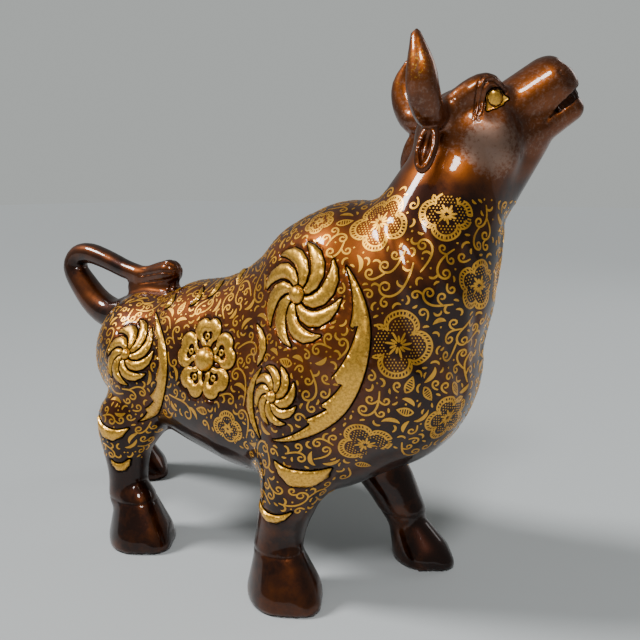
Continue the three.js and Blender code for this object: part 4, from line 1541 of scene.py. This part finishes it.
    def paint(self, skin: Skin) -> None:
        """Paints flowers first, then broad strokes, stems with branches, curls and dots.

        A motif's numbers are the length, turn, power and bend of its lines, in the order of
        curl_line; the number beside it is how many places are tried.

        Args:
            skin: The plain skin, whose points the lines start from.
        """
        rng = np.random.default_rng(self.seed)
        for blossom in self.blossoms:
            self.flower(blossom)
        points = skin.points[skin.points[:, 1] * self.side > 0]
        normals = unit(self.form.slope(points))
        ground = self.is_open(points, normals)
        points, normals = points[ground], normals[ground]
        stems = self.tendrils(((52, 8.5, 3.5, 1.0), (46, 8.0, 3.0, -1.2), (40, 8.5, 3.0, 0.6)))
        long = self.tendrils(((30, 8.4, 2.6, 0.2), (27, 8.0, 2.4, -0.5)))
        short = self.tendrils(((17, 6.6, 1.9, 0.0), (15, 6.2, 1.8, 0.3)), 1.3)
        leaf = Motif(np.stack([self.leaf(11, 5), self.leaf(11, -5)]), 1.1)
        scythe = self.tendrils(((13, 1.5, 1.3, 0.0), (10, 1.2, 1.0, 0.2)), 3.0, 0.9, 2.0)
        hook = self.tendrils(((8, 2.8, 1.5, 0.2), (7, 2.3, 1.2, 0.0)), 1.5, 0.7)
        comma = self.tendrils(((4, 1.2, 1.0, 0.0), (3.5, 0.6, 1.0, 0.0)), 1.5, 0.6)
        dot = Motif(np.array([[[0.0, 0.0], [1.0, 0.0]], [[0.0, 0.0], [1.2, 0.2]]]), 1.2)
        for motif, tries in ((scythe, 110), (stems, 600), (long, 900), (leaf, 900),
                             (short, 2600), (hook, 5000), (comma, 6000), (dot, 3500)):
            pick = rng.integers(0, len(points), tries)
            kept = self.fill(rng, motif, points[pick], normals[pick],
                             rng.normal(size=(tries, 3)))
            if kept is None:
                continue
            log.info("flank %+d: %d lines of %d points", self.side, *kept.points.shape[:2])
            if motif is leaf:
                self.hatch(kept)
            if motif is stems or motif is long:
                for young, places in ((long, (0.25, 0.5, 0.7)), (leaf, (0.15, 0.35, 0.6)),
                                      (short, (0.15, 0.35, 0.55, 0.75)),
                                      (scythe, (0.2, 0.5)), (hook, (0.1, 0.3, 0.5, 0.7))):
                    grown = self.branch(rng, kept, young, places)
                    if grown is not None and young is leaf:
                        self.hatch(grown)
                    if grown is not None and young is long:
                        for last in (short, leaf, hook):
                            self.branch(rng, grown, last, (0.2, 0.4, 0.6))

    def hatch(self, leaves: Strip) -> None:
        """Draws short lines across painted leaves, from one edge to the other.

        Args:
            leaves: The painted leaves.
        """
        p = leaves.points
        last = 2 * LEAF_SIDE - 2
        rungs = np.concatenate([p[:, [i, last - i]] for i in range(2, LEAF_SIDE - 1)])
        self.add(rungs, Motif(rungs[..., :2], 0.75))

    @staticmethod
    def tendrils(kinds: Sequence[tuple[float, float, float, float]], width: float = 1.35,
                 taper: float = 0.35, power: float = 4.0) -> Motif:
        """Curling lines and their mirror images, brought to one count of points.

        Args:
            kinds: Length, turn, power and bend of each line.
            width: Width of the line.
            taper: Share of the width lost at its ends.
            power: How late it narrows.

        Returns:
            The lines and their mirror images.
        """
        lines = [curl_line(*kind) for kind in kinds]
        count = max(len(line) for line in lines)
        even = [np.stack([np.interp(np.linspace(0, 1, count), np.linspace(0, 1, len(line)), c)
                          for c in line.T], axis=1) for line in lines]
        return Motif(np.stack(even + [line * [1, -1] for line in even]), width, taper, power)

    @staticmethod
    def leaf(length: float, width: float) -> Array:
        """Pointed leaf: out along one side and back along the other, with a bent tip.

        Args:
            length: Length of the leaf.
            width: Its width.

        Returns:
            Points of the outline.
        """
        s = np.concatenate([np.linspace(0, 1, LEAF_SIDE), np.linspace(1, 0, LEAF_SIDE)[1:]])
        way = np.where(np.arange(len(s)) < LEAF_SIDE, 1.0, -1.0)
        return np.stack([s * length, way * np.sin(np.pi * s ** 0.8) * width / 2
                         + 0.12 * width * s * s * length / 4], axis=1)

    def mesh(self, shift: Array) -> tuple[Array, Array]:
        """Closed four cornered strips along all lines, a little proud of the skin.

        Args:
            shift: Move from the drawing's frame to the part's.

        Returns:
            Points in metres and triangles.
        """
        points, faces, start = [], [], 0
        for strip in self.strips:
            lines, count = strip.points.shape[:2]
            ahead = unit(np.gradient(strip.points, axis=1))
            across = np.cross(strip.normals, ahead) * (strip.width / 2)[:, None]
            normals = strip.normals.reshape(-1, 3)
            ring = []
            for sign in (-1, 1):
                e = (strip.points + sign * across).reshape(-1, 3)
                height = self.carving.relief(e, normals) - self.form.distance(e)
                ring += [(e + (height + lift)[:, None] * normals).reshape(lines, count, 3)
                         for lift in (self.proud, -self.sunk)]
            corners = np.stack([ring[0], ring[2], ring[3], ring[1]], axis=2)
            points.append(corners.reshape(-1, 3))
            index = start + np.arange(lines * count * 4).reshape(lines, count, 4)
            for k in range(4):
                a, b = index[:, :-1, (k + 1) % 4], index[:, :-1, k]
                c, d = index[:, 1:, k], index[:, 1:, (k + 1) % 4]
                faces += [np.stack(f, axis=-1).reshape(-1, 3) for f in ((a, b, c), (a, c, d))]
            first, last = index[:, 0], index[:, -1]
            faces += [first[:, [0, 1, 2]], first[:, [0, 2, 3]], last[:, [0, 2, 1]],
                      last[:, [0, 3, 2]]]
            start += lines * count * 4
        return (np.concatenate(points) + shift) * MM, np.concatenate(faces)

    def build(self, ground: Skin, shift: Array, gilt: bpy.types.Material) -> bpy.types.Object:
        """Paints the flank and makes its lines one piece.

        Args:
            ground: The plain skin that the lines are laid on.
            shift: Move from the drawing's frame to the part's.
            gilt: The finish.

        Returns:
            The piece.
        """
        self.paint(ground)
        points, triangles = self.mesh(shift)
        obj = make_object(f"gilt_scrolls_{self.side.name.lower()}", points, triangles, False)
        obj.data.materials.append(gilt)
        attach(obj, "root")
        return obj


# Finishes.


def linear(colour: str) -> tuple[float, float, float, float]:
    """Turns an sRGB hex colour into linear red, green, blue and an alpha of one.

    Args:
        colour: Hex colour with its hash.

    Returns:
        Linear red, green, blue and alpha.
    """
    c = np.array([int(colour[i:i + 2], 16) for i in (1, 3, 5)]) / 255
    c = np.where(c <= 0.04045, c / 12.92, ((c + 0.055) / 1.055) ** 2.4)
    return (*c.tolist(), 1.0)


def add_node(tree: bpy.types.NodeTree, kind: str, settings: Optional[dict[str, Any]] = None,
             inputs: Optional[dict[Any, Any]] = None) -> bpy.types.Node:
    """Adds a node with its settings and inputs.

    Args:
        tree: The material's node tree.
        kind: Type name of the node.
        settings: Properties to set on the node.
        inputs: Values, or sockets to link, by input name or number.

    Returns:
        The new node.
    """
    node = tree.nodes.new(kind)
    for key, value in (settings or {}).items():
        setattr(node, key, value)
    for key, value in (inputs or {}).items():
        if isinstance(value, bpy.types.NodeSocket):
            tree.links.new(value, node.inputs[key])
        else:
            node.inputs[key].default_value = value
    return node


def empty_material(name: str) -> bpy.types.Material:
    """A new material whose node tree is empty.

    Args:
        name: Name of the finish.

    Returns:
        The material.
    """
    mat = bpy.data.materials.new(name)
    mat.use_nodes = True
    mat.node_tree.nodes.clear()
    return mat


@dataclass(frozen=True)
class OxFinish:
    """Cast brass under dark brown patina and clear lacquer, with satin gold on the carving.

    The lacquer gives sharp highlights over a deep brown that turns amber as painted light over
    the lit back, shoulder and neck, and where the patina has worn thin, and takes a pale painted
    sheen on the head and hooves. The gold is duller, darkens in spots, and has a nearly black
    line round every carved figure, where the dark wax stayed in the cut.
    """

    name: str = "lacquered_patinated_brass"
    patina: str = "#28120a"
    # amber stands both for brass under worn patina and for painted light where the lamp falls
    amber: str = "#904a12"
    # pale colour of the painted sheen: a reflection of the lamps painted on the head, cheeks and
    # hooves
    painted_sheen: str = "#a2897a"
    pit: str = "#0c0604"
    gold: str = "#fcc046"
    worn_gold: str = "#cf942e"
    mottle_mm: float = 34.0  # width of a rubbed cloud
    speck_mm: float = 2.6  # width of a speckle of the painted sheen
    grain_mm: float = 1.6  # the cast grain is about 0.4 mm, drawn coarse enough to show
    grain_depth: float = 0.0003  # metres
    brown_rough: float = 0.44
    gold_rough: float = 0.36
    cut_rough: float = 0.4  # added in the cuts
    lacquer: float = 0.7
    lacquer_rough: float = 0.06

    def material(self) -> bpy.types.Material:
        """Builds the material from the piece's own attributes and noise in millimetres.

        The brown turns amber where the wear, with the painted light it carries, and a noise in
        clouds add up, takes a pale painted sheen where specks and the sheen share do, and is nearly
        black in a cut. Gold lies inside the carved outlines and where the bared share and the grain
        add up.

        Returns:
            The material.
        """
        mat = empty_material(self.name)
        add = partial(add_node, mat.node_tree)
        where = add("ShaderNodeTexCoord").outputs["Object"]
        carved, worn, bared, hazed = (
            add("ShaderNodeAttribute", {"attribute_name": name}).outputs["Fac"]
            for name in ("carved", "worn", "bared", "hazed"))
        grain, cloud, spots = (
            add("ShaderNodeTexNoise", None,
                {"Vector": where, "Scale": 1000.0 / width_mm, "Detail": detail,
                 "Roughness": rough}).outputs["Fac"]
            for width_mm, detail, rough in ((self.grain_mm, 3.0, 0.6),
                                            (self.mottle_mm, 5.0, 0.62),
                                            (self.speck_mm, 4.0, 0.7)))
        # painted light and wear: the worn attribute raises the amber on the lit back and shoulder
        # and on rubbed spots
        rubbed_and_lit = add("ShaderNodeMath", {"operation": "MULTIPLY_ADD"},
                     {0: cloud, 1: 1.5, 2: worn}).outputs[0]
        # painted sheen: pale reflection of the lamps in speckles on the head, cheeks and hooves
        sheen_speckle = add("ShaderNodeMath", {"operation": "ADD"}, {0: spots, 1: hazed}).outputs[0]
        scuffed = add("ShaderNodeMath", {"operation": "ADD"}, {0: grain, 1: bared}).outputs[0]
        amber, sheen_mix, line, bright, figure, scuff = (
            add("ShaderNodeMapRange", None,
                {"Value": value, "From Min": low, "From Max": high, "To Max": most}).outputs[0]
            for value, low, high, most in (
                (rubbed_and_lit, 0.75, 1.75, 1.0), (sheen_speckle, 1.0, 1.3, 0.5), (carved, 1.5, 0.85, 1.0),
                (grain, 0.35, 0.62, 1.0), (carved, 0.25, -0.35, 1.0),
                (scuffed, 0.9, 1.25, 1.0)))
        gilt = add("ShaderNodeMath", {"operation": "MAXIMUM"}, {0: figure, 1: scuff}).outputs[0]
        colour = linear(self.patina)
        for share, over in ((amber, linear(self.amber)), (sheen_mix, linear(self.painted_sheen)),
                            (line, linear(self.pit))):
            colour = add("ShaderNodeMix", {"data_type": "RGBA"},
                         {0: share, 6: colour, 7: over}).outputs[2]
        gold = add("ShaderNodeMix", {"data_type": "RGBA"},
                   {0: bright, 6: linear(self.worn_gold), 7: linear(self.gold)}).outputs[2]
        colour = add("ShaderNodeMix", {"data_type": "RGBA"},
                     {0: gilt, 6: colour, 7: gold}).outputs[2]
        brown = add("ShaderNodeMath", {"operation": "SUBTRACT"}, {0: 1.0, 1: gilt}).outputs[0]
        cut = add("ShaderNodeMath", {"operation": "MULTIPLY"}, {0: line, 1: brown}).outputs[0]
        plain_rough = add("ShaderNodeMapRange", None,
                          {"Value": gilt, "To Min": self.brown_rough,
                           "To Max": self.gold_rough}).outputs[0]
        rough = add("ShaderNodeMath", {"operation": "MULTIPLY_ADD"},
                    {0: cut, 1: self.cut_rough, 2: plain_rough}).outputs[0]
        coat = add("ShaderNodeMapRange", None,
                   {"Value": cut, "To Min": self.lacquer, "To Max": 0.0}).outputs[0]
        bump = add("ShaderNodeBump", None,
                   {"Height": grain, "Strength": 0.12, "Distance": self.grain_depth})
        shader = add("ShaderNodeBsdfPrincipled", None,
                     {"Base Color": colour, "Metallic": 1.0, "Roughness": rough,
                      "Normal": bump.outputs[0], "Coat Roughness": self.lacquer_rough,
                      "Coat Weight": coat})
        add("ShaderNodeOutputMaterial", None, {"Surface": shader.outputs[0]})
        return mat


@dataclass(frozen=True)
class GiltFinish:
    """Painted gold line, half matt, worn a little darker in places."""

    name: str = "painted_gilt"
    gold: str = "#e6a834"
    worn: str = "#b07c26"
    wear_mm: float = 6.25  # length of a rubbed spot
    rough: float = 0.42
    lacquer: float = 0.5
    lacquer_rough: float = 0.08

    def material(self) -> bpy.types.Material:
        """Builds the material: wear comes from noise in millimetres.

        Returns:
            The material.
        """
        mat = empty_material(self.name)
        add = partial(add_node, mat.node_tree)
        where = add("ShaderNodeTexCoord").outputs["Object"]
        wear = add("ShaderNodeTexNoise", None,
                   {"Vector": where, "Scale": 1000.0 / self.wear_mm, "Detail": 4.0,
                    "Roughness": 0.6})
        amount = add("ShaderNodeMapRange", None,
                     {"Value": wear.outputs["Fac"], "From Min": 0.5, "From Max": 0.75})
        colour = add("ShaderNodeMix", {"data_type": "RGBA"},
                     {0: amount.outputs[0], 6: linear(self.gold), 7: linear(self.worn)})
        shader = add("ShaderNodeBsdfPrincipled", None,
                     {"Base Color": colour.outputs[2], "Metallic": 1.0, "Roughness": self.rough,
                      "Coat Weight": self.lacquer, "Coat Roughness": self.lacquer_rough})
        add("ShaderNodeOutputMaterial", None, {"Surface": shader.outputs[0]})
        return mat


@dataclass(frozen=True)
class FloorFinish:
    """Smooth pale grey painted board: matt, with hardly any reflection."""

    name: str = "pale_painted_board"
    colour: str = "#b8bcbd"
    rough: float = 0.6

    def material(self) -> bpy.types.Material:
        """Builds the material.

        Returns:
            The material.
        """
        mat = empty_material(self.name)
        shader = add_node(mat.node_tree, "ShaderNodeBsdfPrincipled", None,
                          {"Base Color": linear(self.colour), "Roughness": self.rough})
        add_node(mat.node_tree, "ShaderNodeOutputMaterial", None,
                 {"Surface": shader.outputs[0]})
        return mat


# Pieces.


@dataclass
class OxStatue:
    """The whole casting as one fine skin with its carving and finish."""

    form: OxForm = field(default_factory=OxForm)
    carving: Carving = field(default_factory=Carving)
    fine_work: FineWork = field(init=False)
    low: tuple[float, float, float] = (-222.0, -96.0, -6.0)
    high: tuple[float, float, float] = (262.0, 92.0, 398.0)
    cell: float = 2.85
    carved_edge: float = 1.3
    carved_band: float = 1.5  # how near a carved outline the edges are short
    cut_edge: float = 1.8
    eye_edge: float = 1.1
    coarse_edge: float = 99.0
    sole: float = 0.3  # points below this are set level with the floor
    # amber shares: the back and shoulder ones are painted light where the lamp falls, the head,
    # tail and rubbed ones tone and wear
    painted_back_light: float = 0.24
    painted_shoulder_light: float = 0.38
    head_amber: float = 0.42
    tail_amber: float = 0.2
    rubbed_amber: float = 0.34
    ground: Skin = field(init=False)
    shift: Array = field(init=False)

    def __post_init__(self) -> None:
        """Gives the fine work the form it lies on."""
        self.fine_work = FineWork(self.form)

    def wanted(self, p: Array) -> Array:
        """Longest edge allowed at points of the skin: short near a carved outline.

        Args:
            p: Points of the skin.

        Returns:
            Longest edges.
        """
        want = np.full(len(p), self.coarse_edge)
        open_skin = np.flatnonzero((np.abs(p[:, 1]) > 20) & (p[:, 2] > 55) & (p[:, 2] < 278))
        q = p[open_skin]
        d, _ = self.carving.outline(q, self.form.slope(q))
        want[open_skin[np.abs(d - 0.4) < self.carved_band]] = self.carved_edge
        want[self.fine_work.fine(p)] = self.cut_edge
        want[self.fine_work.near_eye(p)] = self.eye_edge
        return want

    def wear(self, p: Array, n: Array) -> Array:
        """How far the brown has turned amber: most over the shoulder and the neck's root.

        It grows with height and is most over the shoulder, as painted light where the lamp falls,
        fades towards the chest and throat, which face forward, as painted shade, is even over the
        head, with wear on the horns, cheeks and muzzle, and slight on the legs and the tail.

        Args:
            p: Points of the skin.
            n: Normals there.

        Returns:
            Shares of amber.
        """
        # painted light: an amber pool over the shoulder and the neck's root, and amber rising with
        # height, where the lamp falls
        painted_light_pool = np.exp(-((p[:, 0] - 112) / 46) ** 2 - ((p[:, 2] - 218) / 50) ** 2)
        high = 0.08 + self.painted_back_light * smooth((p[:, 2] - 118) / 75) + self.painted_shoulder_light * painted_light_pool
        high *= 1 - 0.75 * smooth((p[:, 2] - 258) / 16) * smooth((p[:, 0] - 158) / 16)
        # painted shade: the chest and throat face forward, away from the lamp, and stay dark brown
        ahead = smooth((n[:, 0] - 0.15) / 0.5) * smooth((p[:, 0] - 120) / 30)
        head = smooth((p[:, 2] - 292) / 14)
        tail = smooth((-104 - p[:, 0]) / 14) * smooth((p[:, 2] - 176) / 10)
        amber = high * (1 - 0.85 * ahead)
        amber += (self.head_amber - amber) * head
        amber += (self.tail_amber - amber) * tail
        hp = self.form.head_point
        for e in Side:
            for spot, size in ((hp(-12, e * 44, 362), 15.0), (hp(22, e * 32, 304), 8.0),
                               (hp(36, e * 25, 334), 9.0), (hp(62, e * 18, 350), 12.0)):
                gap = np.linalg.norm(p - spot, axis=1) / size
                amber += self.rubbed_amber * smooth(1.4 - gap)
        return amber

    def bare(self, p: Array) -> Array:
        """Where the brass shows: eyeballs, a rubbed patch on each horn, a spot by the jaw.

        Args:
            p: Points of the skin.

        Returns:
            Shares of bare brass.
        """
        hp = self.form.head_point
        share = np.zeros(len(p))
        for e in Side:
            for spot, size, most in ((hp(40.3, e * 23, 348.2), 4.0, 1.0),
                                     (hp(-12, e * 44, 364), 13.0, 0.36),
                                     (hp(58, -e * 4, 306), 5.0, 0.45)):
                gap = np.linalg.norm(p - spot, axis=1)
                share = np.maximum(share, most * smooth(1.5 - gap / size))
        return share

    def painted_sheen(self, p: Array) -> Array:
        """Where a pale painted sheen stands for the lamps' reflection: the head, most on its
        cheeks, and the hooves.

        Args:
            p: Points of the skin.

        Returns:
            Shares of haze.
        """
        hp = self.form.head_point
        share = 0.3 * smooth((40 - p[:, 2]) / 12) + 0.5 * smooth((p[:, 2] - 304) / 14)
        for e in Side:
            gap = np.linalg.norm((p - hp(36, e * 22, 318)) / [1, 1, 1.1], axis=1)
            share = np.maximum(share, 0.85 * smooth(1.6 - gap / 19))
        return share

    def build(self) -> bpy.types.Object:
        """Meshes the form, raises the carving and dresses the piece.

        Returns:
            The piece.
        """
        skin = Skin.of(self.form, self.low, self.high, self.cell)
        skin.relax(0.5)
        skin.points = self.form.settle(skin.points, 3, self.cell)
        log.info("plain skin: %d triangles", len(skin.triangles))
        self.ground = Skin(skin.points.copy(), skin.triangles)
        for _ in range(3):
            skin = skin.refined(self.wanted)
        skin.points = self.form.settle(skin.points, 2, 0.6)
        n = self.form.slope(skin.points)
        outline, _ = self.carving.outline(skin.points, n)
        outline = np.minimum(outline, self.fine_work.outline(skin.points, n))
        height = self.carving.relief(skin.points, n) + self.fine_work.relief(skin.points)
        skin.points += height[:, None] * n / np.linalg.norm(n, axis=1)[:, None].clip(0.5)
        skin.points[skin.points[:, 2] < self.sole, 2] = 0.0
        low, high = skin.points.min(0), skin.points.max(0)
        self.shift = np.array([-(low[0] + high[0]) / 2, -(low[1] + high[1]) / 2, -low[2]])
        log.info("raw box %s to %s, shift %s", low, high, self.shift)
        skin.points += self.shift
        obj = skin.mesh("brass_ox")
        set_attribute(obj, "carved", np.clip(outline, -6, 6))
        plain = skin.points - self.shift
        # worn carries painted light and shade, the amber on the lit back and shoulder and the dark
        # chest, as well as wear
        set_attribute(obj, "worn", self.wear(plain, n))
        set_attribute(obj, "bared", self.bare(plain))
        # painted sheen: pale reflection of the lamps on the head, cheeks and hooves
        set_attribute(obj, "hazed", self.painted_sheen(plain))
        obj.data.materials.append(OxFinish().material())
        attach(obj, "root")
        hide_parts("ox")
        return obj


class LampKind(Enum):
    """Kinds of light: a far one whose rays are parallel, and a round panel."""

    SUN = "SUN"
    PANEL = "AREA"


@dataclass(frozen=True)
class Lamp:
    """One light; its width is an angle in radians for a sun, metres for a panel."""

    name: str
    kind: LampKind
    place: tuple[float, float, float]
    width: float
    power: float

    def build(self, target: Vector) -> None:
        """Adds the light, turned towards the target.

        Args:
            target: Place to shine at, metres.
        """
        data = bpy.data.lights.new(self.name, self.kind.value)
        if self.kind is LampKind.SUN:
            data.angle = self.width
        else:
            data.size = self.width
            data.shape = "DISK"
        data.energy = self.power
        lamp = bpy.data.objects.new(self.name, data)
        bpy.context.scene.collection.objects.link(lamp)
        lamp.location = self.place
        way = target - Vector(self.place)
        lamp.rotation_euler = way.to_track_quat("-Z", "Y").to_euler()


@dataclass
class Studio:
    """Pale floor, soft lights and the camera at the photograph's angle."""

    shift: Array
    lamps: tuple[Lamp, ...] = (
        Lamp("key", LampKind.SUN, (-0.91, -0.59, 1.3), 0.24, 3.4),
        Lamp("lamp", LampKind.PANEL, (0.56, -0.81, 1.32), 0.3, 13.0),
        Lamp("rim", LampKind.PANEL, (0.7, 1.5, 1.1), 0.8, 4.0))
    target: tuple[float, float, float] = (0.03, 0.0, 0.18)
    floor_reach: float = 9.0
    eye: tuple[float, float, float] = (367.5, -430.5, 296.0)
    heading: float = 33.4
    pitch: float = 11.0
    lens_px: float = 700.0  # distance of the pinhole from the picture, in its pixels
    frame_px: float = 640.0
    sensor_mm: float = 36.0
    backdrop: str = "#b9bdbb"
    room_light: float = 0.42  # strength of the even light on the statue
    backdrop_light: float = 0.9  # strength of the same where the camera sees it directly

    def build(self) -> None:
        """Adds everything that isn't part of the statue."""
        self.floor()
        for lamp in self.lamps:
            lamp.build(Vector(self.target))
        self.camera()
        self.room()

    def room(self) -> None:
        """Even light from all round, which the camera sees brighter, as a pale backdrop."""
        world = bpy.data.worlds.new("studio")
        world.use_nodes = True
        tree = world.node_tree
        seen = add_node(tree, "ShaderNodeLightPath").outputs["Is Camera Ray"]
        strength = add_node(tree, "ShaderNodeMapRange", None, {
            "Value": seen, "To Min": self.room_light, "To Max": self.backdrop_light}).outputs[0]
        back = tree.nodes["Background"]
        back.inputs["Color"].default_value = linear(self.backdrop)
        tree.links.new(strength, back.inputs["Strength"])
        bpy.context.scene.world = world

    def floor(self) -> None:
        """A wide level board; its top is z = 0."""
        w = self.floor_reach
        points = np.array([[-w, -w, 0], [w, -w, 0], [w, w, 0], [-w, w, 0]], float)
        obj = make_object("floor", points, np.array([[0, 1, 2, 3]]))
        obj.data.materials.append(FloorFinish().material())

    def camera(self) -> None:
        """Pinhole camera of the photograph, moved with the statue."""
        data = bpy.data.cameras.new("camera")
        data.sensor_width = self.sensor_mm
        data.lens = self.sensor_mm * self.lens_px / self.frame_px
        data.clip_start = 0.01
        cam = bpy.data.objects.new("camera", data)
        bpy.context.scene.collection.objects.link(cam)
        cam.location = Vector((np.asarray(self.eye) + self.shift) * MM)
        cam.rotation_euler = np.radians([90.0 - self.pitch, 0.0, self.heading])
        bpy.context.scene.camera = cam


def report(obj: bpy.types.Object) -> None:
    """Logs a finished piece."""
    log.info("%s: %d triangles", obj.name, len(obj.data.polygons))


def main() -> None:
    """Builds the casting, the scrollwork of each flank and the studio, in that order."""
    logging.basicConfig(level=logging.INFO, format="%(name)s: %(message)s")
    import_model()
    statue = OxStatue()
    report(statue.build())
    gilt = GiltFinish().material()
    for side, seed in ((Side.RIGHT, 7), (Side.LEFT, 11)):
        scrolls = Scrollwork(statue.form, statue.carving, side, seed)
        report(scrolls.build(statue.ground, statue.shift, gilt))
    Studio(statue.shift).build()


if __name__ == "__main__":
    main()
